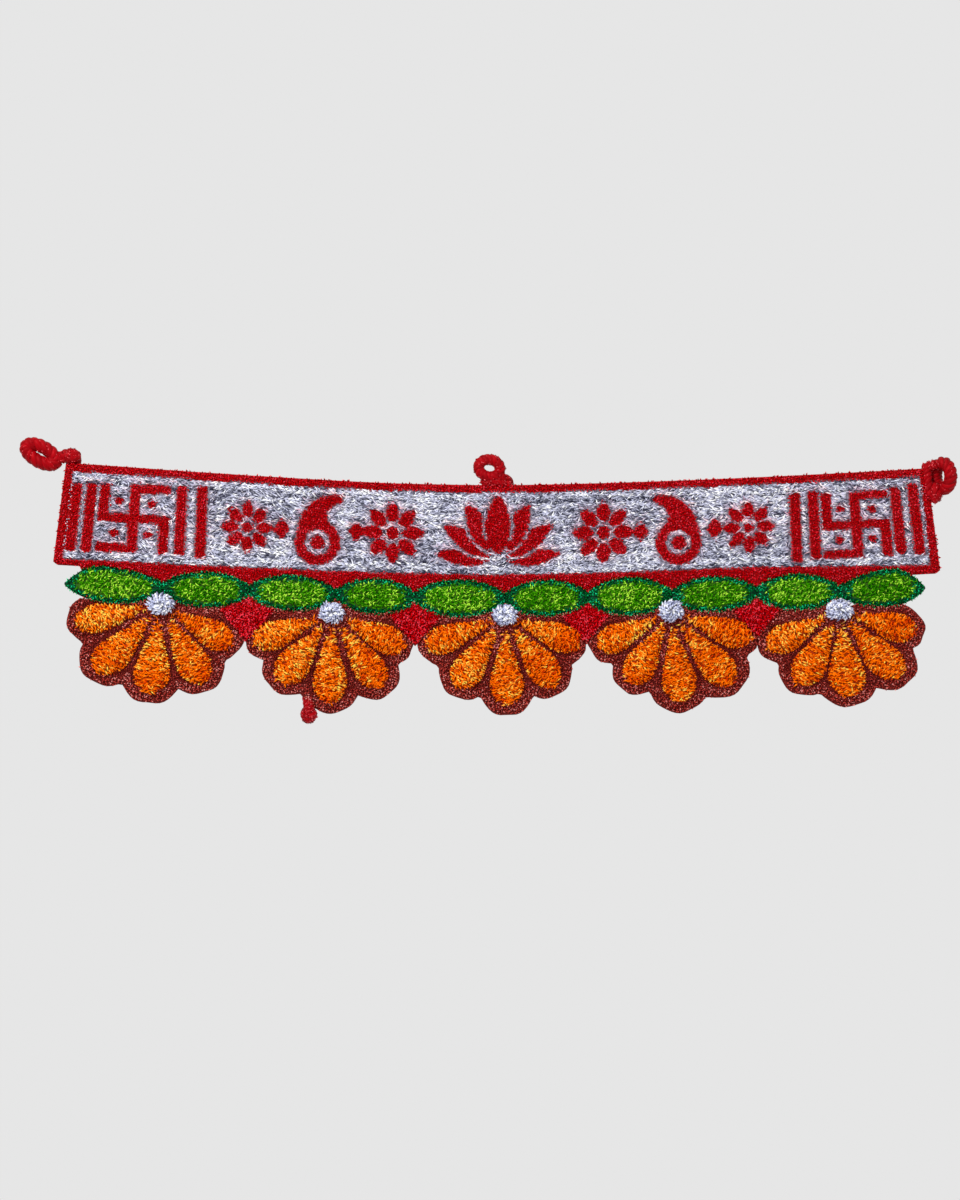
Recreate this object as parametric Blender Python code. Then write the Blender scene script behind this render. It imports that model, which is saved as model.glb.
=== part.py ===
"""Toran door hanging: a tufted yarn heading with a garland of leaves and five half marigolds.

Sizes are in millimetres. Every piece is laid out flat, as it is made: s runs along the door from
the middle, t runs down from the heading's top edge and d stands out towards the viewer.
hang() then gives each point its place on the hung piece, in metres with +Z up.
"""
import math

import bmesh
import bpy
from mathutils import Vector

for old in list(bpy.data.objects):
    bpy.data.objects.remove(old, do_unlink=True)

NAME = "toran_door_hanging"
MM = 0.001

# How it hangs: the ends are held higher than the middle and spread a little at the hem.
HALF_LENGTH = 421.5
SAG = 16.5
SAG_POWER = 1.5
SPREAD = 0.13
WAVE = 3.2
WAVE_LENGTH = 345.0
WAVE_START = 0.7
MID_DEPTH = 3.1

# The heading.
FIELD_TOP = 9.0
FIELD_HEM = 87.6
SIDE_BORDER = 7.5
GAP = 0.3
CLOTH_BACK = -1.5
PILE = 6.5
RIB_PITCH = 9.8
RIB_RELIEF = 0.9

COLLECTION = bpy.data.collections.new(NAME)
bpy.context.scene.collection.children.link(COLLECTION)

COLOURS = {
    "silver_pile": (0.62, 0.60, 0.66),
    "red_pile": (0.52, 0.012, 0.02),
    "green_pile": (0.13, 0.33, 0.02),
    "orange_pile": (0.78, 0.23, 0.01),
    "white_tuft": (0.72, 0.70, 0.76),
}
MATERIALS = {}
for material_name, colour in COLOURS.items():
    material = bpy.data.materials.new(material_name)
    material.use_nodes = True
    shader = material.node_tree.nodes["Principled BSDF"]
    shader.inputs["Base Color"].default_value = (*colour, 1.0)
    shader.inputs["Roughness"].default_value = 0.6
    MATERIALS[material_name] = material


def wave(s, t):
    """How far the cloth waves forward at a flat point: gently, and more towards the hem."""
    loose = 0.3 + 0.7 * min(max(t, 0.0) / 230.0, 1.0)
    return WAVE * loose * math.sin(2.0 * math.pi * s / WAVE_LENGTH + WAVE_START)


def hang(s, t, d):
    """Place a flat point on the hung piece: the line sags, the ends spread, the cloth waves."""
    end = s / HALF_LENGTH
    across = s + SPREAD * end ** 3 * t
    rise = SAG * abs(end) ** SAG_POWER - t
    return Vector((across, MID_DEPTH - d - wave(s, t), rise)) * MM


LEFT_LIFT = 5.2
RIGHT_DROP = 5.5


def heading(s, t, d):
    """Place a point of the heading: it is taller at its ends, up at the left, down at the right."""
    lift = LEFT_LIFT * min(max((-s - 110.0) / 280.0, 0.0), 1.0)
    drop = RIGHT_DROP * min(max((s - 250.0) / 140.0, 0.0), 1.0)
    share = min(t / FIELD_HEM, 1.0)
    return hang(s, t - lift * (1.0 - share) + drop * share, d)


def beside(across, rise, d):
    """Place a point of a loop, which stands off the cloth, by its true width and height."""
    return Vector((across, MID_DEPTH - d - wave(across, 0.0), rise)) * MM


def add_body(name, verts, faces, material_name, smooth=True):
    """Make one closed body from points in metres and add it to the collection."""
    mesh = bpy.data.meshes.new(name)
    mesh.from_pydata(verts, [], faces)
    shell = bmesh.new()
    shell.from_mesh(mesh)
    bmesh.ops.recalc_face_normals(shell, faces=shell.faces)
    shell.to_mesh(mesh)
    shell.free()
    for polygon in mesh.polygons:
        polygon.use_smooth = smooth
    mesh.materials.append(MATERIALS[material_name])
    body = bpy.data.objects.new(name, mesh)
    COLLECTION.objects.link(body)
    return body


def pad(name, centre, outline, depth, rings, material_name, back=CLOTH_BACK):
    """A crowned pad: rings shrink an outline towards its centre, depth(u, k) gives their height.

    u is 1 on the rim and 0 in the middle, k is the outline point. The back is flat.
    """
    count = len(outline)
    verts = []
    for s, t in outline:
        verts.append(hang(s, t, back))
    for u in rings:
        for k, (s, t) in enumerate(outline):
            ring_s = centre[0] + (s - centre[0]) * u
            ring_t = centre[1] + (t - centre[1]) * u
            verts.append(hang(ring_s, ring_t, depth(u, k)))
    verts.append(hang(centre[0], centre[1], depth(0.0, 0)))
    top = len(verts) - 1
    verts.append(hang(centre[0], centre[1], back))
    bottom = len(verts) - 1
    faces = []
    for k in range(count):
        after = (k + 1) % count
        faces.append((bottom, k, after))
        for row in range(len(rings)):
            low = row * count
            high = low + count
            faces.append((low + k, high + k, high + after, low + after))
        last = len(rings) * count
        faces.append((last + k, top, last + after))
    return add_body(name, verts, faces, material_name)


def strip(name, stations, edges, profile, material_name, back=CLOTH_BACK):
    """A tufted strip: a lengthwise loft whose cross-section runs between two edges.

    stations are places along it, edges(station) gives its two edge points (s, t), and
    profile lists (share across, depth) for the face, from one edge to the other.
    """
    width = len(profile) + 2
    verts = []
    for station in stations:
        first, second = edges(station)
        row = [(0.0, back)] + list(profile) + [(1.0, back)]
        for share, d in row:
            s = first[0] + (second[0] - first[0]) * share
            t = first[1] + (second[1] - first[1]) * share
            verts.append(heading(s, t, d))
    faces = []
    for i in range(len(stations) - 1):
        low = i * width
        high = low + width
        for j in range(width):
            after = (j + 1) % width
            faces.append((low + j, high + j, high + after, low + after))
    faces.append(tuple(range(width)))
    last = (len(stations) - 1) * width
    faces.append(tuple(reversed(range(last, last + width))))
    return add_body(name, verts, faces, material_name)


def spread_out(first, last, count):
    """Evenly spaced numbers, both ends included."""
    return [first + (last - first) * i / (count - 1) for i in range(count)]


# Heading: the silver pile stands in rows, so its face is a row of low ribs.
FIELD_LEFT = -HALF_LENGTH + SIDE_BORDER
FIELD_RIGHT = HALF_LENGTH - SIDE_BORDER
field_profile = [(0.0, PILE - 1.6)]
rib_steps = 24
for i in range(1, rib_steps):
    share = i / rib_steps
    down = (FIELD_HEM - FIELD_TOP) * share
    ridge = abs(math.sin(math.pi * down / RIB_PITCH))
    field_profile.append((share, PILE - RIB_RELIEF + RIB_RELIEF * ridge))
field_profile.append((1.0, PILE - 1.6))


def field_edges(s):
    """Top and lower edge of the silver field."""
    return (s, FIELD_TOP), (s, FIELD_HEM)


strip("band_panel", spread_out(FIELD_LEFT, FIELD_RIGHT, 33), field_edges, field_profile,
      "silver_pile")

BORDER_PROFILE = [(0.0, PILE - 2.0), (0.12, PILE - 0.5), (0.5, PILE + 0.4), (0.88, PILE - 0.5),
                  (1.0, PILE - 2.0)]


def top_edges(s):
    """Edges of the top border."""
    return (s, 0.0), (s, FIELD_TOP - GAP)


def left_edges(t):
    """Edges of the left border, its lower corner rounded off."""
    turn = max(0.0, t - (FIELD_HEM - 3.0)) / 3.0
    return (-HALF_LENGTH + 1.6 * turn, t), (FIELD_LEFT - GAP, t)


def right_edges(t):
    """Edges of the right border."""
    outer, inner = left_edges(t)
    return (-inner[0], t), (-outer[0], t)


strip("border_top", spread_out(-HALF_LENGTH, HALF_LENGTH, 44), top_edges, BORDER_PROFILE,
      "red_pile")
strip("border_left", spread_out(FIELD_TOP, FIELD_HEM, 14), left_edges, BORDER_PROFILE, "red_pile")
strip("border_right", spread_out(FIELD_TOP, FIELD_HEM, 14), right_edges, BORDER_PROFILE,
      "red_pile")

# Leaves: a garland whose tips meet under the heading. Each joint is a tip of two leaves.
JOINT_COLUMNS = ("s", "t", "half_neck")
JOINTS = (
    (-409.0, 112.0, 0.9),
    (-319.1, 112.4, 5.6),
    (-238.8, 110.4, 5.2),
    (-155.7, 111.4, 5.6),
    (-79.1, 111.2, 5.2),
    (8.8, 111.6, 5.6),
    (89.8, 111.4, 5.2),
    (171.1, 112.6, 5.6),
    (252.0, 112.8, 5.2),
    (329.3, 115.4, 5.6),
    (406.3, 116.0, 0.9),
)
LEAF_HALF_HEIGHT = (17.0, 18.0, 17.8, 17.6, 18.8, 18.2, 19.2, 17.6, 18.0, 17.4)
LEAF_SIDE_POINTS = 13
GARLAND_GAP = 0.5
LEAF_RISE = 7.4
LEAF_RIM = 4.2


def leaf_half_height(number, share):
    """Half height of a leaf at a share of its length: the tips' necks and a bulge between."""
    first = JOINTS[number][2]
    second = JOINTS[number + 1][2]
    neck = first + (second - first) * share
    x = 2.0 * share - 1.0
    return neck + (LEAF_HALF_HEIGHT[number] - neck) * (1.0 - x * x) ** 0.85


def garland_edge(s, side):
    """The garland's upper (side -1) or lower (side +1) edge at s, as a flat t."""
    held = min(max(s, JOINTS[0][0]), JOINTS[-1][0])
    number = 0
    while number < len(JOINTS) - 2 and held > JOINTS[number + 1][0]:
        number += 1
    first = JOINTS[number]
    second = JOINTS[number + 1]
    share = (held - first[0]) / (second[0] - first[0])
    axis = first[1] + (second[1] - first[1]) * share
    return axis + side * leaf_half_height(number, share)


def crown(height, rim):
    """Depth of a plain pad: a soft shoulder, then a low dome."""
    def depth(u, k):
        return height - (height - rim) * u ** 4
    return depth


leaf_stations = []
for number in range(len(JOINTS) - 1):
    left = JOINTS[number][0] + GAP / 2.0
    right = JOINTS[number + 1][0] - GAP / 2.0
    along = [0.5 - 0.5 * math.cos(math.pi * i / LEAF_SIDE_POINTS)
             for i in range(LEAF_SIDE_POINTS + 1)]
    outline = []
    for share in along:
        s = left + (right - left) * share
        leaf_stations.append(s)
        outline.append((s, garland_edge(s, 1.0)))
    for share in reversed(along):
        s = left + (right - left) * share
        outline.append((s, garland_edge(s, -1.0)))
    centre_s = (left + right) / 2.0
    centre_t = (JOINTS[number][1] + JOINTS[number + 1][1]) / 2.0
    pad("leaf_%d" % (number + 1), (centre_s, centre_t), outline, crown(LEAF_RISE, LEAF_RIM),
        (1.0, 0.93, 0.8, 0.5), "green_pile")


# The hem border fills down to the garland, so it comes to a point wherever two leaves meet.
def hem_edges(s):
    """Edges of the hem border, its outer corners rounded off."""
    inset = max(0.0, abs(s) - HALF_LENGTH + 4.0)
    drop = RIGHT_DROP * min(max((s - 250.0) / 140.0, 0.0), 1.0)
    lower = min(garland_edge(s, -1.0) - GARLAND_GAP, FIELD_HEM + 19.0) - drop
    if s < -396.0:
        lower = min(lower, FIELD_HEM + 6.8)
    elif s > 396.0:
        lower = min(lower, FIELD_HEM + 9.8)
    return (s, FIELD_HEM + GAP), (s, lower - 0.8 * inset)


hem_stations = leaf_stations[1:-1]
for step in (0.4, 2.5, 4.5, 8.0):
    hem_stations += [-HALF_LENGTH + step, HALF_LENGTH - step]
hem_stations = sorted(hem_stations)
strip("border_bottom", hem_stations, hem_edges, BORDER_PROFILE, "red_pile")

# Red lozenges between the flowers. Their upper sides follow the garland.
DIAMOND_COLUMNS = ("joint", "centre_s", "half_width", "widest_t", "tip_t")
DIAMONDS = (
    (2, -240.5, 25.4, 129.0, 159.5),
    (4, -79.0, 23.6, 130.5, 157.6),
    (6, 87.6, 22.2, 130.0, 155.0),
    (8, 251.5, 20.6, 131.0, 155.4),
)


def diamond_outline(diamond, grow):
    """A lozenge with its lower tip down and its top under the leaves' joint."""
    joint, centre, half, widest, tip = diamond
    points = []
    left = centre - half - grow
    right = centre + half + grow
    stations = [s for s in leaf_stations if left + 1.0 < s < right - 1.0]
    for s in [left] + stations + [right]:
        points.append((s, garland_edge(s, 1.0) + GARLAND_GAP - 3.0 * grow))
    right_t = max(widest, points[-1][1] + 1.0)
    left_t = max(widest, points[0][1] + 1.0)
    points[-1] = (points[-1][0], right_t)
    points[0] = (points[0][0], left_t)
    for share in (0.33, 0.67):
        points.append((centre + (half + grow) * (1.0 - share), right_t + (tip - right_t) * share))
    points.append((centre, tip + grow))
    for share in (0.67, 0.33):
        points.append((centre - (half + grow) * (1.0 - share), left_t + (tip - left_t) * share))
    return points


for number, diamond in enumerate(DIAMONDS, start=1):
    middle = (diamond[1], diamond[3] - 1.0)
    pad("diamond_%d" % number, middle, diamond_outline(diamond, 0.0), crown(6.8, 4.6),
        (1.0, 0.9, 0.6), "red_pile")

# Flowers: half marigolds with five raised petals fanned about a white knot.
FLOWER_COLUMNS = ("heart_s", "heart_t", "each petal's degrees and reach")
FLOWERS = (
    (-320.2, 128.2, ((-74.0, 86.0), (-38.0, 96.0), (-4.0, 97.0), (30.0, 94.5), (62.0, 84.0))),
    (-159.9, 129.6, ((-67.0, 88.0), (-35.0, 94.0), (-1.0, 98.0), (35.0, 95.5), (66.0, 85.0))),
    (8.3, 128.0, ((-68.0, 90.5), (-34.0, 94.0), (2.0, 98.0), (36.0, 94.5), (68.0, 88.0))),
    (170.0, 128.4, ((-66.0, 85.5), (-30.0, 88.5), (6.0, 99.5), (38.0, 102.0), (68.0, 89.5))),
    (327.1, 134.0, ((-64.0, 82.5), (-29.0, 90.0), (3.0, 94.5), (36.0, 93.0), (69.0, 79.0))),
)
PETAL_HALF_WIDTHS = (14.0, 15.2, 16.4, 15.2, 14.0)
RIM_WIDTH = 6.5
PETAL_RISE = 8.2
GROOVE_RISE = 5.4
HEART_RISE = 7.2
KNOT_RADIUS = 12.8
FLOWER_DIRECTIONS = 60
FLOWER_RINGS = (1.0, 0.95, 0.84, 0.68, 0.5, 0.32)


def lobe_radius(flower, degrees):
    """The flower's scalloped edge in one direction, straight down being 0 degrees."""
    best = 8.0
    for angle, reach in flower[2]:
        off = (degrees - angle) / 17.0
        best = max(best, reach * (1.0 - 0.125 * abs(off) ** 2.2))
    return best


def inside_polygon(s, t, polygon):
    """Whether a flat point lies inside a polygon, by counting edge crossings."""
    inside = False
    for (s0, t0), (s1, t1) in zip(polygon, polygon[1:] + polygon[:1]):
        if (t0 > t) != (t1 > t):
            if s < s0 + (t - t0) / (t1 - t0) * (s1 - s0):
                inside = not inside
    return inside


def petal_share(flower, radius, degrees):
    """How far a point is inside the nearest petal: 1 on its spine, 0 at its edge, less outside."""
    best = -1.0
    for (angle, reach), half in zip(flower[2], PETAL_HALF_WIDTHS):
        off = math.radians(degrees - angle)
        along = radius * math.cos(off) / (reach - RIM_WIDTH)
        if 0.12 < along < 1.0 and abs(off) < 1.2:
            swell = math.sin(math.pi * (along - 0.12) ** 1.55 / 0.88 ** 1.55) ** 0.6
            width = half * max(swell, 0.05)
            best = max(best, 1.0 - abs(radius * math.sin(off)) / width)
    return best


DIAMOND_WALLS = [diamond_outline(diamond, 1.0) for diamond in DIAMONDS]
HUB_DROP = 15.0


def polar(flower, s, t):
    """A flat point's distance from the flower's heart and its direction, 0 being straight down."""
    away_s = s - flower[0]
    away_t = t - flower[1]
    return math.hypot(away_s, away_t), math.degrees(math.atan2(away_s, away_t))


def flower_holds(number, s, t):
    """Whether a flat point belongs to a flower: under the garland and clear of its neighbours."""
    low = DIAMONDS[number - 1][1] + 0.4 if number > 0 else -HALF_LENGTH
    high = DIAMONDS[number][1] - 0.4 if number < len(DIAMONDS) else HALF_LENGTH
    if t < garland_edge(s, 1.0) + GARLAND_GAP or not low < s < high:
        return False
    if any(inside_polygon(s, t, wall) for wall in DIAMOND_WALLS):
        return False
    radius, degrees = polar(FLOWERS[number], s, t)
    return radius < lobe_radius(FLOWERS[number], degrees)


for number, flower in enumerate(FLOWERS):
    hub = (flower[0], flower[1] + HUB_DROP)
    aims = [360.0 * k / FLOWER_DIRECTIONS - 180.0 for k in range(FLOWER_DIRECTIONS)]
    for wall in DIAMOND_WALLS:
        for s, t in wall:
            if math.hypot(s - hub[0], t - hub[1]) < 106.0:
                corner = math.degrees(math.atan2(s - hub[0], t - hub[1]))
                aims = [aim for aim in aims if abs(aim - corner) > 0.9]
                aims += [corner - 0.35, corner + 0.35]
    outline = []
    for degrees in sorted(aims, reverse=True):
        ray_s = math.sin(math.radians(degrees))
        ray_t = math.cos(math.radians(degrees))
        radius = 4.0
        while flower_holds(number, hub[0] + ray_s * (radius + 0.25), hub[1] + ray_t * (radius + 0.25)):
            radius += 0.25
        outline.append((hub[0] + ray_s * radius, hub[1] + ray_t * radius))

    def relief(u, k, flower=flower, outline=outline, hub=hub):
        """Pile depth: petals stand above the grooves and the rim rolls over at the edge."""
        s = hub[0] + (outline[k][0] - hub[0]) * u
        t = hub[1] + (outline[k][1] - hub[1]) * u
        radius, degrees = polar(flower, s, t)
        if radius < KNOT_RADIUS + 3.0:
            return HEART_RISE - (HEART_RISE - 4.2) * u ** 14
        petal = max(0.0, petal_share(flower, radius, degrees))
        rise = GROOVE_RISE + (PETAL_RISE - GROOVE_RISE) * min(1.0, 1.8 * petal)
        return rise - (rise - 4.2) * u ** 14

    pad("flower_%d" % (number + 1), hub, outline, relief, FLOWER_RINGS, "orange_pile")

# Knots: white tufts sewn on over the flowers' hearts.
KNOT_BACK = 7.6
KNOT_RISE = 7.0
for number, flower in enumerate(FLOWERS, start=1):
    outline = []
    for k in range(16):
        angle = -2.0 * math.pi * k / 16
        swell = 1.0 + 0.05 * math.cos(3.0 * angle + number)
        outline.append((flower[0] + KNOT_RADIUS * swell * math.cos(angle),
                        flower[1] - 1.0 + KNOT_RADIUS * swell * math.sin(angle)))

    def tuft(u, k):
        """A low ball of cut yarn."""
        return KNOT_BACK + 1.6 + (KNOT_RISE - 1.6) * math.sqrt(max(0.0, 1.0 - u * u))

    pad("knot_%d" % number, (flower[0], flower[1] - 1.0), outline, tuft,
        (1.0, 0.9, 0.7, 0.4), "white_tuft", back=KNOT_BACK)

# Loops and the yarn end: round cords, joined with their knots into one body each.
GUIDES = bpy.data.collections.new("guides")
bpy.context.scene.collection.children.link(GUIDES)
CORD_SIDES = 3


def cord_mesh(name, points, radius, closed=False):
    """A round cord through points in metres, as a closed mesh."""
    curve = bpy.data.curves.new(name, "CURVE")
    curve.dimensions = "3D"
    curve.bevel_depth = radius * MM
    curve.bevel_resolution = CORD_SIDES
    curve.use_fill_caps = True
    spline = curve.splines.new("POLY")
    spline.points.add(len(points) - 1)
    for point, place in zip(spline.points, points):
        point.co = (place.x, place.y, place.z, 1.0)
    spline.use_cyclic_u = closed
    source = bpy.data.objects.new(name, curve)
    bpy.context.scene.collection.objects.link(source)
    bpy.context.view_layer.update()
    mesh = bpy.data.meshes.new_from_object(source.evaluated_get(
        bpy.context.evaluated_depsgraph_get()))
    bpy.data.objects.remove(source, do_unlink=True)
    shell = bmesh.new()
    shell.from_mesh(mesh)
    bmesh.ops.remove_doubles(shell, verts=shell.verts, dist=1e-6)
    bmesh.ops.recalc_face_normals(shell, faces=shell.faces)
    shell.to_mesh(mesh)
    shell.free()
    mesh.materials.clear()
    return mesh


def ball_mesh(name, centre, radii):
    """A ball of yarn with three radii in millimetres."""
    mesh = bpy.data.meshes.new(name)
    shell = bmesh.new()
    bmesh.ops.create_uvsphere(shell, u_segments=14, v_segments=9, radius=1.0)
    for vert in shell.verts:
        for axis in range(3):
            vert.co[axis] = vert.co[axis] * radii[axis] * MM + centre[axis]
    shell.to_mesh(mesh)
    shell.free()
    return mesh


def joined(name, meshes):
    """Unite meshes into one body of red cord."""
    first = meshes[0]
    first.materials.append(MATERIALS["red_pile"])
    for polygon in first.polygons:
        polygon.use_smooth = True
    body = bpy.data.objects.new(name, first)
    COLLECTION.objects.link(body)
    for number, mesh in enumerate(meshes[1:], start=1):
        mesh.materials.append(MATERIALS["red_pile"])
        for polygon in mesh.polygons:
            polygon.use_smooth = True
        guide = bpy.data.objects.new("%s_guide_%d" % (name, number), mesh)
        guide.hide_render = True
        guide.display_type = "WIRE"
        GUIDES.objects.link(guide)
        union = body.modifiers.new("join_%d" % number, "BOOLEAN")
        union.operation = "UNION"
        union.solver = "EXACT"
        union.object = guide
    return body


def ring_points(centre, long_way, short_way, count=24):
    """Points of an oval about a centre, from its two half axes as (across, rise, depth)."""
    points = []
    for k in range(count):
        angle = 2.0 * math.pi * k / count
        place = [centre[i] + long_way[i] * math.cos(angle) + short_way[i] * math.sin(angle)
                 for i in range(3)]
        points.append(beside(*place))
    return points


joined("loop_left", [
    cord_mesh("left_ring", ring_points((-445.3, 30.3, 2.2), (-14.2, 8.4, 0.0),
                                       (4.3, 7.4, 0.0)), 5.6, closed=True),
    ball_mesh("left_knot", beside(-416.9, 29.2, 2.2), (10.8, 6.8, 6.6)),
    cord_mesh("left_neck", [beside(-432.6, 26.0, 2.2), beside(-420.0, 29.5, 0.6),
                            beside(-412.6, 27.0, -7.7), beside(-412.0, 4.0, -7.6)], 5.6),
])
joined("loop_centre", [
    cord_mesh("centre_ring", ring_points((-6.4, 16.6, 2.2), (10.4, -2.0, 0.0),
                                         (1.6, 8.2, 0.0)), 4.6, closed=True),
    cord_mesh("centre_neck", [beside(1.6, 10.6, 2.0), beside(8.0, 6.4, 1.0),
                              beside(12.4, 3.6, -6.4), beside(13.2, -7.0, -6.4)], 4.6),
])
joined("loop_right", [
    cord_mesh("right_ring", ring_points((437.4, 9.0, 2.2), (-1.0, 12.5, 0.0),
                                        (6.4, 1.0, 8.4)), 5.0, closed=True),
    ball_mesh("right_bump", beside(428.8, 19.8, 1.5), (6.0, 5.5, 4.6)),
    ball_mesh("right_knot", beside(431.4, -8.6, 2.2), (6.0, 6.0, 9.0)),
    cord_mesh("right_neck", [beside(432.0, -8.2, 2.2), beside(429.6, -12.0, -7.6),
                             beside(414.0, -13.0, -7.6)], 4.6),
])


def under(across, rise, d):
    """Place a point of the yarn end, which hangs under the second flower."""
    return Vector((across, MID_DEPTH - d - wave(-185.0, 218.0), rise)) * MM


joined("end_knot", [
    ball_mesh("end_ball", under(-184.2, -224.6, 0.2), (7.8, 6.0, 8.6)),
    cord_mesh("end_neck", [under(-185.4, -222.0, -2.4), under(-188.6, -215.4, -6.8),
                           under(-189.4, -201.0, -6.8)], 4.2),
])
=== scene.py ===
import math

import bpy
import numpy as np
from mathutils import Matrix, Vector


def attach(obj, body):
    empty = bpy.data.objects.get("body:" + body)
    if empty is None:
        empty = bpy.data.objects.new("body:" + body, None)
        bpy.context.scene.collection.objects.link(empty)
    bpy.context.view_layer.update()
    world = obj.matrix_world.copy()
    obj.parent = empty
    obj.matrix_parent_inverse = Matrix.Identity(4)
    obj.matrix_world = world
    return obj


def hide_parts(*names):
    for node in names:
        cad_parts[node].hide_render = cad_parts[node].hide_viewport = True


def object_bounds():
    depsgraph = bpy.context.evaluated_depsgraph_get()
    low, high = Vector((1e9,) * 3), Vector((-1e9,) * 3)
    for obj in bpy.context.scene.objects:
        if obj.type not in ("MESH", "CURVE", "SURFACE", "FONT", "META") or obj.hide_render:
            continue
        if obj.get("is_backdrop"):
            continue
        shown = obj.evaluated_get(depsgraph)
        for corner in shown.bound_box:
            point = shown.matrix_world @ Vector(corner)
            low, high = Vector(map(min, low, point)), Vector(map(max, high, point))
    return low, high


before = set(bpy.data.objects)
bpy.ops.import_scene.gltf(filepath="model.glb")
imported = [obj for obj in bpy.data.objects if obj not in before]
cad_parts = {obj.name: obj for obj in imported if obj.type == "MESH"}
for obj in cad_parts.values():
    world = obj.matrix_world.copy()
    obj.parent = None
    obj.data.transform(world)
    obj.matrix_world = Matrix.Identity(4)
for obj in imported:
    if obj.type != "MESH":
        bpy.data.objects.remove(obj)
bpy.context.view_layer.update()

# The camera looks straight at the hanging from well back, so the view is as flat as the photograph.
# The hanging is long and low, so most of the upright frame is the pale ground around it.
camera_data = bpy.data.cameras.new("camera")
camera_data.sensor_width = 36.0
camera_data.lens = 120.0
camera = bpy.data.objects.new("camera", camera_data)
camera.location = (-0.0156, -3.912, -0.1124)
camera.rotation_euler = (math.radians(90.0), 0.0, 0.0)
bpy.context.collection.objects.link(camera)
bpy.context.scene.camera = camera
bpy.context.scene.view_settings.view_transform = "Standard"
bpy.context.scene.view_settings.look = "None"

# Plain pale surroundings with soft light: a large soft key from the upper left, a weaker fill from
# the right, and an even pale sky that also makes the ground tone of the picture.
world = bpy.data.worlds.new("pale_surroundings")
world.use_nodes = True
bpy.context.scene.world = world
sky_nodes = world.node_tree.nodes
sky_links = world.node_tree.links
sky = sky_nodes["Background"]
sky.inputs["Color"].default_value = (0.791, 0.791, 0.791, 1.0)
sight = sky_nodes.new("ShaderNodeLightPath")
level = sky_nodes.new("ShaderNodeMapRange")
level.inputs["To Min"].default_value = 0.8
level.inputs["To Max"].default_value = 1.0
sky_links.new(sight.outputs["Is Camera Ray"], level.inputs["Value"])
sky_links.new(level.outputs["Result"], sky.inputs["Strength"])


def soft_light(name, place, target, size, watts):
    """A square area light at a place, aimed at a target."""
    data = bpy.data.lights.new(name, "AREA")
    data.size = size
    data.energy = watts
    lamp = bpy.data.objects.new(name, data)
    lamp.location = place
    lamp.rotation_euler = (Vector(target) - Vector(place)).to_track_quat("-Z", "Y").to_euler()
    bpy.context.collection.objects.link(lamp)


soft_light("key_light", (-1.1, -1.9, 1.5), (0.0, 0.0, -0.1), 0.9, 84.0)
soft_light("fill_light", (1.7, -2.0, 0.2), (0.0, 0.0, -0.1), 1.2, 20.0)

floor_mesh = bpy.data.meshes.new("pale_floor")
floor_mesh.from_pydata([(-1.4, -0.7, -0.95), (1.4, -0.7, -0.95), (1.4, 0.6, -0.95),
                        (-1.4, 0.6, -0.95)], [], [(0, 1, 2, 3)])
floor = bpy.data.objects.new("pale_floor", floor_mesh)
bpy.context.collection.objects.link(floor)
floor_paint = bpy.data.materials.new("pale_floor_paint")
floor_paint.use_nodes = True
floor_paint.node_tree.nodes["Principled BSDF"].inputs["Base Color"].default_value = (
    0.78, 0.78, 0.78, 1.0)
floor_paint.node_tree.nodes["Principled BSDF"].inputs["Roughness"].default_value = 0.8
floor_mesh.materials.append(floor_paint)
floor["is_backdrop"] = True

# The ground cloth hangs from its ends: its line sags, its ends spread and it waves a little.
# All pieces are laid out flat in millimetres, s along, t down and d out of the face, and this
# same hanging places each of them, so they meet as the sewn pieces do.
MM = 0.001
HALF_LENGTH = 421.5
SAG = 16.5
SPREAD = 0.13
WAVE = 3.2
WAVE_LENGTH = 345.0
MID_DEPTH = 3.1
CLOTH_BACK = -1.5


def wave(s, t):
    """Forward wave: WAVE x looseness(t) x sin(2 pi s / WAVE_LENGTH + 0.7), looser to the hem."""
    loose = 0.3 + 0.7 * np.clip(t / 230.0, 0.0, 1.0)
    return WAVE * loose * np.sin(2.0 * np.pi * s / WAVE_LENGTH + 0.7)


def hang(s, t, d):
    """Hung place of a flat point: x = s + SPREAD e^3 t, z = SAG |e|^1.5 - t, with e = s / half
    length, and y = MID_DEPTH - d - wave."""
    s, t, d = np.broadcast_arrays(np.asarray(s, float), np.asarray(t, float), np.asarray(d, float))
    end = s / HALF_LENGTH
    across = s + SPREAD * end ** 3 * t
    rise = SAG * np.abs(end) ** 1.5 - t
    return np.stack([across, MID_DEPTH - d - wave(s, t), rise], axis=-1) * MM


def shaped(name, points, faces, materials, smooth=True):
    """A mesh object from an array of points in metres and a list of face index arrays."""
    mesh = bpy.data.meshes.new(name)
    total = sum(len(f) for f in faces)
    mesh.vertices.add(len(points))
    mesh.vertices.foreach_set("co", np.asarray(points, np.float32).ravel())
    counts = np.concatenate([np.full(len(f), f.shape[1]) for f in faces]).astype(np.int32)
    loops = np.concatenate([f.ravel() for f in faces]).astype(np.int32)
    starts = np.concatenate([[0], np.cumsum(counts)[:-1]]).astype(np.int32)
    mesh.loops.add(len(loops))
    mesh.loops.foreach_set("vertex_index", loops)
    mesh.polygons.add(total)
    mesh.polygons.foreach_set("loop_start", starts)
    mesh.polygons.foreach_set("use_smooth", np.full(total, smooth))
    for paint in materials:
        mesh.materials.append(paint)
    mesh.update(calc_edges=True)
    mesh.validate()
    piece = bpy.data.objects.new(name, mesh)
    bpy.context.collection.objects.link(piece)
    return piece


# Yarn: every pile strand is one cut end of shiny acrylic yarn, with painted shade darkening its
# root where the pile closes over it. Its tone is kept with the mesh, so each end has its own shade
# of the dye lot.
RNG = np.random.default_rng(20628)


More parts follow.
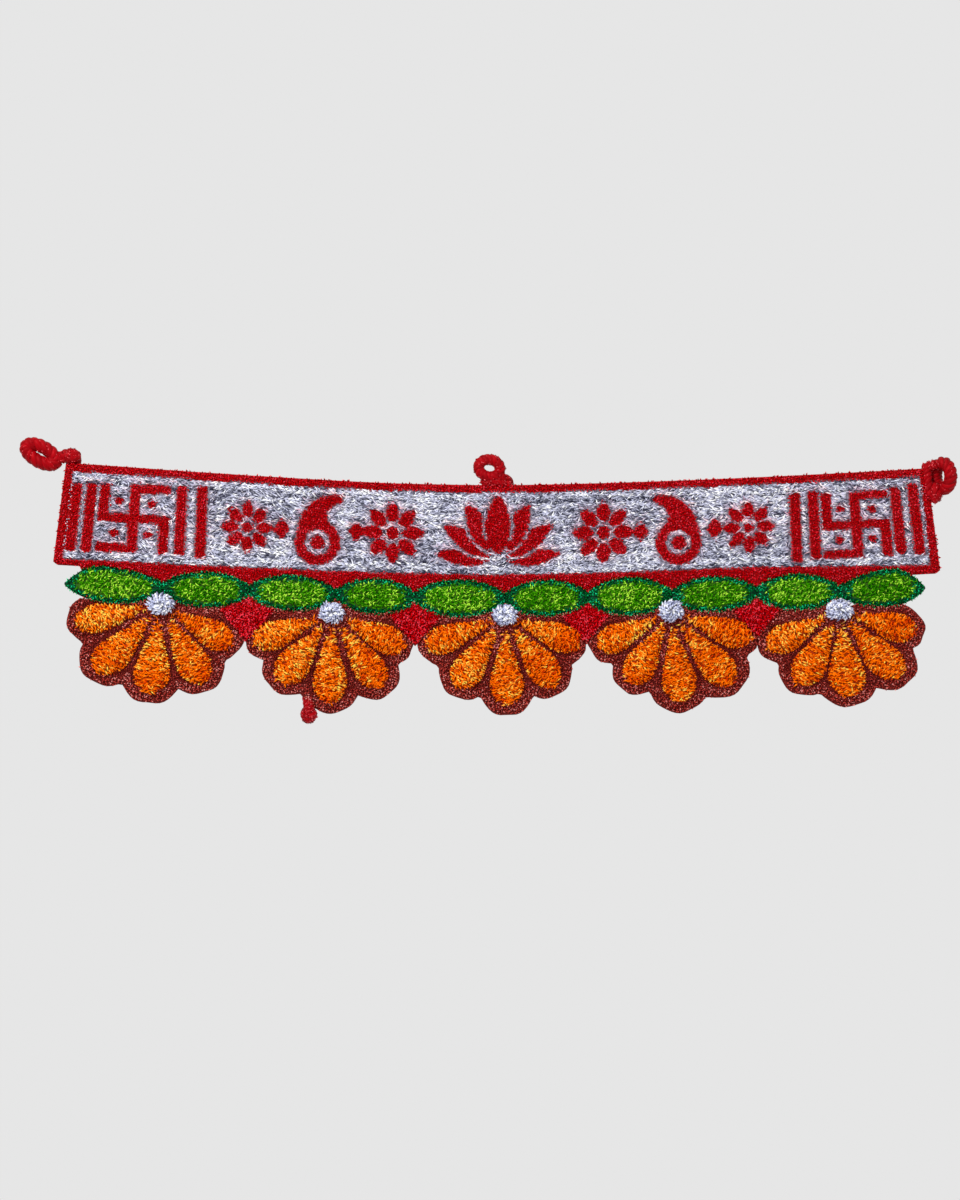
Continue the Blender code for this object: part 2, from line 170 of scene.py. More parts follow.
def patches(s, t, scale=1.0):
    """Slow blotches from 0 to 1: half + half sin(a) sin(b), a and b bent by sines of s and t."""
    a = s / (7.3 * scale) + 2.0 * np.sin(t / (5.1 * scale))
    b = t / (6.7 * scale) + 1.7 * np.sin(s / (9.1 * scale))
    return 0.5 + 0.5 * np.sin(a) * np.sin(b)


def yarn_group():
    """Node group: a strand's tone chooses between three shades of one dye, its place along it
    gives painted shade at its root, and its blue mixes in painted shade with a pinkish reflection.
    """
    group = bpy.data.node_groups.new("yarn_shades", "ShaderNodeTree")
    for label, kind in (("Deep", "NodeSocketColor"), ("Middle", "NodeSocketColor"),
                        ("Bright", "NodeSocketColor"), ("Shade And Reflection", "NodeSocketColor"),
                        ("Root Shade", "NodeSocketFloat")):
        group.interface.new_socket(label, in_out="INPUT", socket_type=kind)
    group.interface.new_socket("Color", in_out="OUTPUT", socket_type="NodeSocketColor")
    group.interface.new_socket("Roughness", in_out="OUTPUT", socket_type="NodeSocketFloat")
    nodes = group.nodes
    links = group.links
    given = nodes.new("NodeGroupInput")
    result = nodes.new("NodeGroupOutput")
    strand = nodes.new("ShaderNodeAttribute")
    strand.attribute_name = "strand"
    parts = nodes.new("ShaderNodeSeparateColor")
    links.new(strand.outputs["Color"], parts.inputs["Color"])
    low = nodes.new("ShaderNodeMapRange")
    low.inputs["From Max"].default_value = 0.55
    links.new(parts.outputs["Red"], low.inputs["Value"])
    high = nodes.new("ShaderNodeMapRange")
    high.inputs["From Min"].default_value = 0.62
    high.inputs["From Max"].default_value = 0.95
    links.new(parts.outputs["Red"], high.inputs["Value"])
    dark = nodes.new("ShaderNodeMix")
    dark.data_type = "RGBA"
    links.new(low.outputs["Result"], dark.inputs["Factor"])
    links.new(given.outputs["Deep"], dark.inputs[6])
    links.new(given.outputs["Middle"], dark.inputs[7])
    light = nodes.new("ShaderNodeMix")
    light.data_type = "RGBA"
    links.new(high.outputs["Result"], light.inputs["Factor"])
    links.new(dark.outputs[2], light.inputs[6])
    links.new(given.outputs["Bright"], light.inputs[7])
    # Painted shade: the colour darkens from the tip down to Root Shade at the root.
    along = nodes.new("ShaderNodeMapRange")
    links.new(parts.outputs["Green"], along.inputs["Value"])
    links.new(given.outputs["Root Shade"], along.inputs["To Min"])
    rooted = nodes.new("ShaderNodeMix")
    rooted.data_type = "RGBA"
    rooted.blend_type = "MULTIPLY"
    rooted.inputs["Factor"].default_value = 1.0
    # Painted shade with a pinkish painted reflection: the colour is multiplied where the blue says.
    shade_reflection_mix = nodes.new("ShaderNodeMix")
    shade_reflection_mix.data_type = "RGBA"
    shade_reflection_mix.blend_type = "MULTIPLY"
    links.new(parts.outputs["Blue"], shade_reflection_mix.inputs["Factor"])
    links.new(light.outputs[2], shade_reflection_mix.inputs[6])
    links.new(given.outputs["Shade And Reflection"], shade_reflection_mix.inputs[7])
    links.new(shade_reflection_mix.outputs[2], rooted.inputs[6])
    links.new(along.outputs["Result"], rooted.inputs[7])
    links.new(rooted.outputs[2], result.inputs["Color"])
    gloss = nodes.new("ShaderNodeMapRange")
    gloss.inputs["To Min"].default_value = 0.6
    gloss.inputs["To Max"].default_value = 0.34
    links.new(parts.outputs["Red"], gloss.inputs["Value"])
    links.new(gloss.outputs["Result"], result.inputs["Roughness"])
    return group


YARN_SHADES = yarn_group()


def yarn(name, deep, middle, bright, root_shade, shine=0.25, shade_and_reflection=(1.0, 1.0, 1.0)):
    """Acrylic yarn in three shades of one dye, given as plain linear colours. Its shine takes the
    tint of the dye. The last colour, a painted shade with a pinkish painted reflection of red beside
    the strand, multiplies the colour where the attribute's blue says so."""
    paint = bpy.data.materials.new(name)
    paint.use_nodes = True
    nodes = paint.node_tree.nodes
    links = paint.node_tree.links
    shader = nodes["Principled BSDF"]
    shader.inputs["Specular IOR Level"].default_value = shine
    shader.inputs["Specular Tint"].default_value = (*[c / max(bright) for c in bright], 1.0)
    shades = nodes.new("ShaderNodeGroup")
    shades.node_tree = YARN_SHADES
    shades.inputs["Deep"].default_value = (*deep, 1.0)
    shades.inputs["Middle"].default_value = (*middle, 1.0)
    shades.inputs["Bright"].default_value = (*bright, 1.0)
    shades.inputs["Shade And Reflection"].default_value = (*shade_and_reflection, 1.0)
    shades.inputs["Root Shade"].default_value = root_shade
    links.new(shades.outputs["Color"], shader.inputs["Base Color"])
    links.new(shades.outputs["Roughness"], shader.inputs["Roughness"])
    return paint


# Below the pile lies the ground: packed yarn roots on a stiff canvas. On the plain reverse the
# yarn shows as rows of short flat stitches in the same colours.
def ground_group():
    """Node group: knobbly height of packed roots, or of flat stitch rows when Reverse is 1."""
    group = bpy.data.node_groups.new("stitched_ground", "ShaderNodeTree")
    group.interface.new_socket("Reverse", in_out="INPUT", socket_type="NodeSocketFloat")
    group.interface.new_socket("Color", in_out="OUTPUT", socket_type="NodeSocketColor")
    group.interface.new_socket("Height", in_out="OUTPUT", socket_type="NodeSocketFloat")
    nodes = group.nodes
    links = group.links
    given = nodes.new("NodeGroupInput")
    result = nodes.new("NodeGroupOutput")
    place = nodes.new("ShaderNodeTexCoord")
    turned = nodes.new("ShaderNodeMapping")
    turned.inputs["Rotation"].default_value = (math.radians(90.0), 0.0, 0.0)
    links.new(place.outputs["Object"], turned.inputs["Vector"])
    stitches = nodes.new("ShaderNodeTexBrick")
    stitches.inputs["Scale"].default_value = 1.0
    stitches.inputs["Brick Width"].default_value = 0.0052
    stitches.inputs["Row Height"].default_value = 0.0026
    stitches.inputs["Mortar Size"].default_value = 0.0004
    stitches.inputs["Mortar Smooth"].default_value = 1.0
    stitches.inputs["Color1"].default_value = (1.0, 1.0, 1.0, 1.0)
    stitches.inputs["Color2"].default_value = (0.72, 0.72, 0.72, 1.0)
    stitches.inputs["Mortar"].default_value = (0.28, 0.28, 0.28, 1.0)
    links.new(turned.outputs["Vector"], stitches.inputs["Vector"])
    roots = nodes.new("ShaderNodeTexNoise")
    roots.inputs["Scale"].default_value = 620.0
    roots.inputs["Detail"].default_value = 3.0
    links.new(place.outputs["Object"], roots.inputs["Vector"])
    colour = nodes.new("ShaderNodeAttribute")
    colour.attribute_name = "ground"
    flat = nodes.new("ShaderNodeMix")
    flat.data_type = "RGBA"
    flat.blend_type = "MULTIPLY"
    links.new(given.outputs["Reverse"], flat.inputs["Factor"])
    links.new(colour.outputs["Color"], flat.inputs[6])
    links.new(stitches.outputs["Color"], flat.inputs[7])
    # On the face the colour is darker where the roots' bump is low, painted shade in the hollows; on
    # the reverse the same noise only mottles the tone.
    knobbly = nodes.new("ShaderNodeMapRange")
    knobbly.inputs["To Min"].default_value = 0.45
    knobbly.inputs["To Max"].default_value = 1.25
    links.new(roots.outputs["Fac"], knobbly.inputs["Value"])
    shaded_and_mottled = nodes.new("ShaderNodeMix")
    shaded_and_mottled.data_type = "RGBA"
    shaded_and_mottled.blend_type = "MULTIPLY"
    shaded_and_mottled.inputs["Factor"].default_value = 1.0
    links.new(flat.outputs[2], shaded_and_mottled.inputs[6])
    links.new(knobbly.outputs["Result"], shaded_and_mottled.inputs[7])
    links.new(shaded_and_mottled.outputs[2], result.inputs["Color"])
    height = nodes.new("ShaderNodeMix")
    links.new(given.outputs["Reverse"], height.inputs["Factor"])
    links.new(roots.outputs["Fac"], height.inputs["A"])
    links.new(stitches.outputs["Fac"], height.inputs["B"])
    links.new(height.outputs["Result"], result.inputs["Height"])
    return group


STITCHED_GROUND = ground_group()


def ground(name, reverse):
    """Ground material for the face (reverse 0) or the stitched back (reverse 1)."""
    paint = bpy.data.materials.new(name)
    paint.use_nodes = True
    nodes = paint.node_tree.nodes
    links = paint.node_tree.links
    shader = nodes["Principled BSDF"]
    shader.inputs["Roughness"].default_value = 0.8
    shader.inputs["Specular IOR Level"].default_value = 0.1
    cloth = nodes.new("ShaderNodeGroup")
    cloth.node_tree = STITCHED_GROUND
    cloth.inputs["Reverse"].default_value = reverse
    bump = nodes.new("ShaderNodeBump")
    bump.invert = reverse > 0.5
    bump.inputs["Strength"].default_value = 0.7
    bump.inputs["Distance"].default_value = 0.0008
    links.new(cloth.outputs["Height"], bump.inputs["Height"])
    links.new(bump.outputs["Normal"], shader.inputs["Normal"])
    links.new(cloth.outputs["Color"], shader.inputs["Base Color"])
    return paint


PILE_GROUND = ground("pile_ground", 0.0)
STITCHED_BACK = ground("stitched_back", 1.0)


def tint(piece, colours):
    """Keep the ground's colour, one linear colour a point, with the mesh."""
    layer = piece.data.color_attributes.new("ground", "FLOAT_COLOR", "POINT")
    rgba = np.ones((len(piece.data.vertices), 4), np.float32)
    rgba[:, :3] = colours
    layer.data.foreach_set("color", rgba.ravel())


def tufts(name, root, bend, tip, side, lift, width, tone, paint, shade_and_reflection=0.0):
    """Pile from arrays of places in metres: each strand is a bent, tapering three-sided spike.

    Its section at the root and at the bend is the triangle place - w side, place + w side and
    place + 0.9 w lift, with w = half the width, 0.85 of that at the bend, and it ends in a point
    at tip. Each strand has its own cell in the bake layout.
    """
    count = len(root)
    rings = []
    for place, share in ((root, 1.0), (bend, 0.85)):
        half = (width * 0.5 * share * MM)[:, None]
        rings += [place - side * half - lift * half * 0.4, place + side * half - lift * half * 0.4,
                  place + lift * half * 0.9]
    points = np.stack(rings + [tip], axis=1).reshape(-1, 3)
    base = (np.arange(count) * 7)[:, None]
    quads = []
    tips = []
    for j in range(3):
        k = (j + 1) % 3
        quads.append(base + np.array([[j, k, k + 3, j + 3]]))
        tips.append(base + np.array([[j + 3, k + 3, 6]]))
    foot = base + np.array([[2, 1, 0]])
    piece = shaped(name, points, [np.concatenate(quads), np.concatenate(tips), foot], [paint])
    layer = piece.data.color_attributes.new("strand", "FLOAT_COLOR", "POINT")
    rgba = np.zeros((count, 7, 4), np.float32)
    rgba[:, :, 0] = np.clip(tone, 0.0, 1.0)[:, None]
    # Blue: how much painted shade and pinkish painted reflection the strand takes.
    rgba[:, :, 2] = np.broadcast_to(shade_and_reflection, (count,))[:, None]
    # Green: place along the strand, 0 at the root, where the painted shade is darkest.
    rgba[:, 3:6, 1] = 0.75
    rgba[:, 6, 1] = 1.0
    rgba[:, :, 3] = 1.0
    layer.data.foreach_set("color", rgba.ravel())
    side_cells = int(math.ceil(math.sqrt(count)))
    cell = 1.0 / side_cells
    corner = np.stack([(np.arange(count) % side_cells) * cell,
                       (np.arange(count) // side_cells) * cell], axis=1)[:, None, :]
    boxes = []
    for j in range(3):
        x0 = 0.06 + 0.3 * j
        boxes.append(np.array([[x0, 0.2], [x0 + 0.28, 0.2], [x0 + 0.28, 0.6], [x0, 0.6]]))
    for j in range(3):
        x0 = 0.06 + 0.3 * j
        boxes.append(np.array([[x0, 0.62], [x0 + 0.28, 0.62], [x0 + 0.14, 0.94]]))
    boxes.append(np.array([[0.3, 0.04], [0.7, 0.04], [0.5, 0.18]]))
    layout = np.concatenate([(corner + box[None] * cell).reshape(-1, 2) for box in boxes])
    bake = piece.data.uv_layers.new(name="OFBake")
    bake.data.foreach_set("uv", layout.astype(np.float32).ravel())
    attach(piece, "root")
    return piece


def pile(name, s, t, d, heading, lean, height, width, tone, paint, shade_and_reflection=0.0):
    """Pile on the hung cloth: a strand rises by height from its root at depth d and leans by lean
    towards heading, an angle in the face (0 along +s, 90 degrees down). At h of its height it has
    gone lean h^1.7 along the heading."""
    go_s = np.cos(heading)
    go_t = np.sin(heading)
    root = hang(s, t, d)
    over = lean * 0.55 ** 1.7
    bend = hang(s + go_s * over, t + go_t * over, d + height * 0.55)
    tip = hang(s + go_s * lean, t + go_t * lean, d + height)
    side = np.stack([go_t, np.zeros_like(go_s), go_s], axis=-1)
    lift = np.broadcast_to(np.array([0.0, -1.0, 0.0]), side.shape)
    return tufts(name, root, bend, tip, side, lift, width, tone, paint, shade_and_reflection)


def scattered(low_s, high_s, low_t, high_t, pitch):
    """Roots on a grid of this pitch, each moved by up to half a pitch, alternate rows offset."""
    rows = np.arange(low_t, high_t, pitch)
    steps = np.arange(low_s, high_s, pitch)
    s, t = np.meshgrid(steps, rows)
    s = s + (np.arange(len(rows)) % 2)[:, None] * pitch * 0.5
    s = s + RNG.uniform(-0.5, 0.5, s.shape) * pitch
    t = t + RNG.uniform(-0.5, 0.5, t.shape) * pitch
    return s.ravel(), t.ravel()


# Leaves' joints set the edges of the pieces around them, so they are laid out first. The garland
# is ten padded leaves in two greens, tip to tip under the heading: a dark edge round a light heart.
JOINT_S = np.array([-409.0, -319.1, -238.8, -155.7, -79.1, 8.8, 89.8, 171.1, 252.0, 329.3, 406.3])
JOINT_T = np.array([112.0, 112.4, 110.4, 111.4, 111.2, 111.6, 111.4, 112.6, 112.8, 115.4, 116.0])
HALF_NECK = np.array([0.9, 5.6, 5.2, 5.6, 5.2, 5.6, 5.2, 5.6, 5.2, 5.6, 0.9])
LEAF_HALF = np.array([17.0, 18.0, 17.8, 17.6, 18.8, 18.2, 19.2, 17.6, 18.0, 17.4])


def garland(s):
    """The garland's axis and half height at s: neck + (bulge - neck)(1 - x^2)^0.85 between two
    joints, with x from -1 to 1 along the leaf. The two outer leaves are fuller above near their
    tips, by a bell of 4 mm at 386 mm from the middle."""
    held = np.clip(s, JOINT_S[0], JOINT_S[-1])
    number = np.clip(np.searchsorted(JOINT_S, held, side="left") - 1, 0, len(LEAF_HALF) - 1)
    share = (held - JOINT_S[number]) / (JOINT_S[number + 1] - JOINT_S[number])
    neck = HALF_NECK[number] + (HALF_NECK[number + 1] - HALF_NECK[number]) * share
    x = 2.0 * share - 1.0
    half = neck + (LEAF_HALF[number] - neck) * np.clip(1.0 - x * x, 0.0, 1.0) ** 0.85
    axis = JOINT_T[number] + (JOINT_T[number + 1] - JOINT_T[number]) * share
    ends = np.clip((JOINT_S[-1] - np.abs(s)) / 10.0, 0.0, 1.0)
    fuller = 2.0 * np.exp(-((np.abs(s) - 386.0) / 20.0) ** 2) * ends
    return axis - fuller, half + fuller, share, number


def tone_of(s, t, spread=0.24, blotch=0.22, scale=1.0):
    """A strand's tone: 0.5 + blotch (patches - 0.5) + a random part."""
    return (0.5 + blotch * (patches(s, t, scale) - 0.5) * 2.0
            + RNG.normal(0.0, spread, np.shape(s)))


def cloth_body(name, s, t, face, back, colours):
    """A closed sheet on a grid: the face at depth face, the reverse at depth back, walls between.

    s, t and face are n x m arrays, s growing with the first index and t with the second.
    """
    n, m = s.shape
    front = hang(s, t, face).reshape(-1, 3)
    rear = hang(s, t, np.full_like(s, back)).reshape(-1, 3)
    index = np.arange(n * m).reshape(n, m)
    a = index[:-1, :-1].ravel()
    b = index[:-1, 1:].ravel()
    c = index[1:, 1:].ravel()
    e = index[1:, :-1].ravel()
    gap = n * m
    face_quads = np.stack([a, b, c, e], axis=1)
    back_quads = np.stack([e, c, b, a], axis=1) + gap
    top = index[:, 0]
    hem = index[:, -1]
    left = index[0, :]
    right = index[-1, :]
    walls = []
    for first, second in ((top[:-1], top[1:]), (hem[1:], hem[:-1]), (left[1:], left[:-1]),
                          (right[:-1], right[1:])):
        walls.append(np.stack([first, second, second + gap, first + gap], axis=1))
    walls = np.concatenate(walls)
    piece = shaped(name, np.concatenate([front, rear]), [face_quads, walls, back_quads],
                   [PILE_GROUND, STITCHED_BACK])
    slots = np.zeros(len(piece.data.polygons), np.int32)
    slots[len(face_quads) + len(walls):] = 1
    piece.data.polygons.foreach_set("material_index", slots)
    tint(piece, np.concatenate([colours.reshape(-1, 3)] * 2))
    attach(piece, "root")
    return piece


def round_body(name, hub, angles, radii, shares, depth, back, colour_at):
    """A closed pad about a hub: rings at shares of the rim radius, in the directions of angles.

    s = hub s + r sin(angle), t = hub t + r cos(angle); depth(s, t, share) gives the face.
    """
    n = len(angles)
    m = len(shares)
    r = radii[None, :] * shares[:, None]
    s = hub[0] + r * np.sin(angles)[None, :]
    t = hub[1] + r * np.cos(angles)[None, :]
    face = depth(s, t, np.broadcast_to(shares[:, None], s.shape))
    middle = depth(np.array([[hub[0]]]), np.array([[hub[1]]]), np.array([[0.0]]))
    front = hang(s, t, face).reshape(-1, 3)
    rear = hang(s, t, np.full_like(s, back)).reshape(-1, 3)
    front_hub = hang(hub[0], hub[1], middle[0, 0])[None]
    rear_hub = hang(hub[0], hub[1], back)[None]
    index = np.arange(n * m).reshape(m, n)
    after = np.roll(index, -1, axis=1)
    gap = n * m
    a = index[:-1].ravel()
    b = index[1:].ravel()
    c = after[1:].ravel()
    e = after[:-1].ravel()
    face_quads = np.stack([a, b, c, e], axis=1)
    walls = np.stack([index[-1], index[-1] + gap, after[-1] + gap, after[-1]], axis=1)
    back_quads = np.stack([e, c, b, a], axis=1) + gap
    face_hub = np.full(n, 2 * gap)
    face_fan = np.stack([face_hub, index[0], after[0]], axis=1)
    back_fan = np.stack([face_hub + 1, after[0] + gap, index[0] + gap], axis=1)
    piece = shaped(name, np.concatenate([front, rear, front_hub, rear_hub]),
                   [face_quads, walls, back_quads, face_fan, back_fan],
                   [PILE_GROUND, STITCHED_BACK])
    slots = np.zeros(len(piece.data.polygons), np.int32)
    first_back = len(face_quads) + len(walls)
    slots[first_back:first_back + len(back_quads)] = 1
    slots[-n:] = 1
    piece.data.polygons.foreach_set("material_index", slots)
    colours = colour_at(s, t).reshape(-1, 3)
    hub_colour = colour_at(np.array([hub[0]]), np.array([hub[1]])).reshape(1, 3)
    tint(piece, np.concatenate([colours, colours, hub_colour, hub_colour]))
    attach(piece, "root")
    return piece


# The heading: a stiff strip tufted in silver-white yarn, edged in red, its lower edge filling down
# in points between the leaves. Red tufted motifs stand on the silver: bars and a sathiya at each
# end, and a lotus, rosettes and mango sprigs between them.
FIELD_TOP = 7.4
FIELD_HEM = 87.6
FIELD_HALF = 414.0
PILE_TOP = 6.5
RIB_PITCH = 9.8
SILVER_GROUND = (0.24, 0.24, 0.30)
RED_GROUND = (0.30, 0.0003, 0.002)

# The silver yarn's last colour is the pinkish painted shade it takes beside red work.
SILVER_YARN = yarn("silver_yarn", (0.04, 0.04, 0.08), (0.60, 0.61, 0.77), (1.0, 1.0, 1.0), 0.5,
                   shade_and_reflection=(0.92, 0.55, 0.58))
RED_YARN = yarn("red_yarn", (0.32, 0.0002, 0.0008), (0.66, 0.0004, 0.004), (0.98, 0.06, 0.10),
                0.2, 0.06)

BARS = np.array([(-406.9, 14.0, 80.0), (-393.4, 13.0, 80.5), (-305.6, 11.0, 79.0),
                 (-286.0, 10.5, 81.0), (290.8, 17.3, 84.7), (309.0, 16.2, 83.6),
                 (387.9, 17.5, 82.0), (404.6, 13.5, 84.0)])
BAR_HALF = 5.1
SIGNS = np.array([(-351.0, 45.3, 33.7), (348.5, 51.0, 32.3)])


def hem_line(s):
    """The pattern's lower edge: at the garland, and 7 to 10 mm of edging beyond its ends."""
    axis, half, share, number = garland(s)
    drop = 5.5 * np.clip((s - 250.0) / 140.0, 0.0, 1.0)
    lower = np.minimum(axis - half + 0.6, FIELD_HEM + 22.6) - drop
    lower = np.where(s < -396.0, np.minimum(lower, FIELD_HEM + 6.8), lower)
    lower = np.where(s > 396.0, np.minimum(lower, FIELD_HEM + 9.8), lower)
    return lower - 0.8 * np.clip(np.abs(s) - HALF_LENGTH + 4.0, 0.0, 4.0)


def drawn(s, t):
    """True flat height of a point of the heading, which is taller at its ends: t - 5.2 L (1 - k)
    + 5.5 R k, with k = t / hem up to 1, and L and R growing from 0 to 1 towards the ends."""
    lift = 5.2 * np.clip((-s - 110.0) / 280.0, 0.0, 1.0)
    drop = 5.5 * np.clip((s - 250.0) / 140.0, 0.0, 1.0)
    share = np.minimum(t / FIELD_HEM, 1.0)
    return t - lift * (1.0 - share) + drop * share


def sathiya(u, v):
    """Traditional sign on a unit square: a cross whose arms each turn clockwise, and four dots."""
    upright = 0.148
    level = 0.13
    arms = (np.abs(u) < upright) & (np.abs(v) < 1.0) | (np.abs(v) < level) & (np.abs(u) < 1.0)
    arms |= (np.abs(v + 1.0 - level) < level) & (u > 0.0) & (u < 1.0)
    arms |= (np.abs(u - 1.0 + upright) < upright) & (v > 0.0) & (v < 1.0)
    arms |= (np.abs(v - 1.0 + level) < level) & (u < 0.0) & (u > -1.0)
    arms |= (np.abs(u + 1.0 - upright) < upright) & (v < 0.0) & (v > -1.0)
    for dot_u, dot_v in ((-0.44, -0.5), (0.5, -0.45), (-0.52, 0.44), (0.44, 0.44)):
        arms |= np.hypot(u - dot_u, v - dot_v) < 0.13
    return arms


def blade(u, v, angle, near, far, half):
    """A pointed petal from near to far from the middle at an angle from straight up: its half
    width at a of its length is half x sin(pi a^0.9)^0.8. Gives the distance inside its edge."""
    turn = math.radians(angle)
    along = u * math.sin(turn) - v * math.cos(turn)
    aside = np.abs(u * math.cos(turn) + v * math.sin(turn))
    a = np.clip((along - near) / (far - near), 0.0, 1.0)
    return half * np.sin(np.pi * a ** 0.9) ** 0.8 - aside - 50.0 * (along < near)


def layered(u, v, petals, gap):
    """Petals laid one over another, each with a silver gap round it."""
    shape = np.zeros(np.shape(u), bool)
    for petal in petals:
        inside = blade(u, v, *petal)
        shape = np.where(inside > 0.0, True, shape & (inside < -gap))
    return shape


def lotus(u, v):
    """Open lotus: three pairs of petals folding out behind an upright one, over two sepals."""
    petals = ((-84.0, 8.0, 62.0, 8.0), (84.0, 8.0, 62.0, 8.0), (-57.0, 8.0, 64.0, 9.5),
              (57.0, 8.0, 64.0, 9.5), (-29.0, 8.0, 64.0, 11.0), (29.0, 8.0, 64.0, 11.0),
              (0.0, 6.0, 66.0, 12.5))
    bowl = np.abs(np.hypot(u / 1.5, v + 8.0) - 19.0) < 3.4
    return layered(u, v - 26.0, petals, 3.0) | bowl & (v > 5.0) & (np.abs(u) < 30.0) & (v < 13.0)


def rosette(u, v):
    """Eight separate petals round a disc."""
    shape = np.hypot(u, v) < 6.4
    for k in range(8):
        shape |= blade(u, v, 45.0 * k, 9.0, 31.0, 6.8) > 0.0
    return shape


def mango(u, v):
    """Mango sprig: discs shrinking from 22 to 4 mm along a stem that curls over, with a ring left
    open round its heart."""
    shape = np.zeros(np.shape(u), bool)
    for a in np.linspace(0.0, 1.0, 30):
        x = -5.0 * math.sin(math.pi * a) + 20.0 * a ** 3
        y = 12.0 - 52.0 * a + 9.0 * a ** 4
        shape |= np.hypot(u - x, v - y) < 22.0 - 17.6 * a ** 0.75
    r = np.hypot(u, v - 12.0)
    return shape & ((r < 7.2) | (r > 12.2))


def lozenge(u, v):
    """Small lozenge: |u| / 8.5 + |v| / 11 < 1."""
    return np.abs(u) / 8.5 + np.abs(v) / 11.0 < 1.0


MOTIFS = ((lotus, 2.0, 1.0), (rosette, -101.0, 1.0), (rosette, 105.0, 1.0), (mango, -174.0, 1.0),
          (mango, 178.0, -1.0), (rosette, -242.0, 0.84), (rosette, 246.0, 0.84),
          (lozenge, -136.0, 1.0), (lozenge, 141.0, 1.0), (lozenge, -209.0, 1.0),
          (lozenge, 213.0, 1.0))


def red_motif(s, t):
    """Where the silver field is worked in red: the bars, the two signs and the middle motifs."""
    red = np.zeros(np.shape(s), bool)
    for bar_s, bar_top, bar_hem in BARS:
        red |= (np.abs(s - bar_s) < BAR_HALF) & (t > bar_top) & (t < bar_hem)
    for sign_s, sign_t, half in SIGNS:
        red |= sathiya((s - sign_s) / half, (t - sign_t) / half)
    for motif, motif_s, turn in MOTIFS:
        near = np.abs(s - motif_s) < 66.0
        size = abs(turn)
        red |= near & motif((s - motif_s) / turn, (t - 48.5) / size)
    return red


def on_field(s, t):
    """Whether a flat point is on the silver field and not on its red edging."""
    return (t > FIELD_TOP) & (t < FIELD_HEM) & (np.abs(s) < FIELD_HALF)


def tip_on_red(s, t, heading, lean):
    """Whether a leaning silver strand would end on red: on a motif, or well out on the edging."""
    out_s = lean * np.cos(heading)
    out_t = lean * np.sin(heading)
    return (red_motif(s + out_s, drawn(s, t) + out_t)
            | ~on_field(s + 0.8 * out_s, t + 0.8 * out_t))


def heading_top(s, t):
    """Pile surface of the heading: ribs across the field, a low roll on the edging."""
    ribs = PILE_TOP - 0.9 + 0.9 * np.abs(np.sin(np.pi * (t - FIELD_TOP) / RIB_PITCH))
    return np.where(on_field(s, t), ribs, PILE_TOP - 0.2)


columns = np.linspace(-HALF_LENGTH, HALF_LENGTH, 341)
rows = np.linspace(0.0, 1.0, 40)
grid_s = np.broadcast_to(columns[:, None], (len(columns), len(rows))).copy()
grid_t = rows[None, :] * hem_line(columns)[:, None]
edge = np.minimum(np.minimum(grid_t, hem_line(grid_s) - grid_t), HALF_LENGTH - np.abs(grid_s))
face = heading_top(grid_s, grid_t) - 3.2 - 1.8 * np.exp(-edge / 1.5)
field_red = red_motif(grid_s, drawn(grid_s, grid_t)) | ~on_field(grid_s, grid_t)
cloth_colours = np.where(field_red[..., None], np.array(RED_GROUND), np.array(SILVER_GROUND))
heading_cloth = cloth_body("heading_cloth", grid_s, drawn(grid_s, grid_t), face, CLOTH_BACK,
                           cloth_colours)
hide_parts("band_panel", "border_top", "border_bottom", "border_left",
            "border_right")

root_s, root_t = scattered(-FIELD_HALF + 0.4, FIELD_HALF, FIELD_TOP + 0.6, FIELD_HEM, 1.65)
kept = on_field(root_s, root_t) & ~red_motif(
    root_s + RNG.normal(0.0, 0.4, root_s.shape),
    drawn(root_s, root_t) + RNG.normal(0.0, 0.4, root_s.shape))
root_s = root_s[kept]
root_t = root_t[kept]
for number, (low, high) in enumerate(((-500.0, -140.0), (-140.0, 150.0), (150.0, 500.0)), start=1):
    part = (root_s >= low) & (root_s < high)
    s = root_s[part]
    t = root_t[part]
    way = np.where(RNG.random(s.shape) < 0.5, 0.0, np.pi)
    heading = way + RNG.normal(0.0, 0.5, s.shape) + 0.7 * (patches(s, t, 2.4) - 0.5)
    rib = np.abs(np.sin(np.pi * (t - FIELD_TOP) / RIB_PITCH))
    # The tone is darker in the valleys between the ribs: painted shade.
    tone = tone_of(s * 0.45, t, 0.27, 0.3, 0.7) - 0.5 * (1.0 - rib) ** 2 + 0.06
    top = heading_top(s, t)
    lean = RNG.uniform(4.6, 8.2, s.shape)
    true_t = drawn(s, t)
    over_red = tip_on_red(s, t, heading, lean)
    heading = np.where(over_red, heading + np.pi, heading)
    over_red = tip_on_red(s, t, heading, lean)
    lean = np.where(over_red, 1.2, lean)
    # Silver strands just above and beside red work take painted shade with a pinkish painted
    # reflection.
    shade_and_reflection = np.zeros(s.shape)
    for step_s, step_t, share in ((5.0, 0.0, 0.2), (-5.0, 0.0, 0.2), (0.0, -5.0, 0.15),
                                  (0.0, 3.0, 0.3), (0.0, 6.0, 0.3)):
        shade_and_reflection += share * red_motif(s + step_s, true_t + step_t)
    shade_and_reflection *= RNG.uniform(0.5, 1.4, s.shape)
    piece = pile("silver_pile_%d" % number, s, true_t, top - 4.2, heading, lean,
                 RNG.uniform(3.4, 4.8, s.shape), RNG.uniform(1.6, 2.4, s.shape), tone,
                 SILVER_YARN, np.clip(shade_and_reflection, 0.0, 1.0))

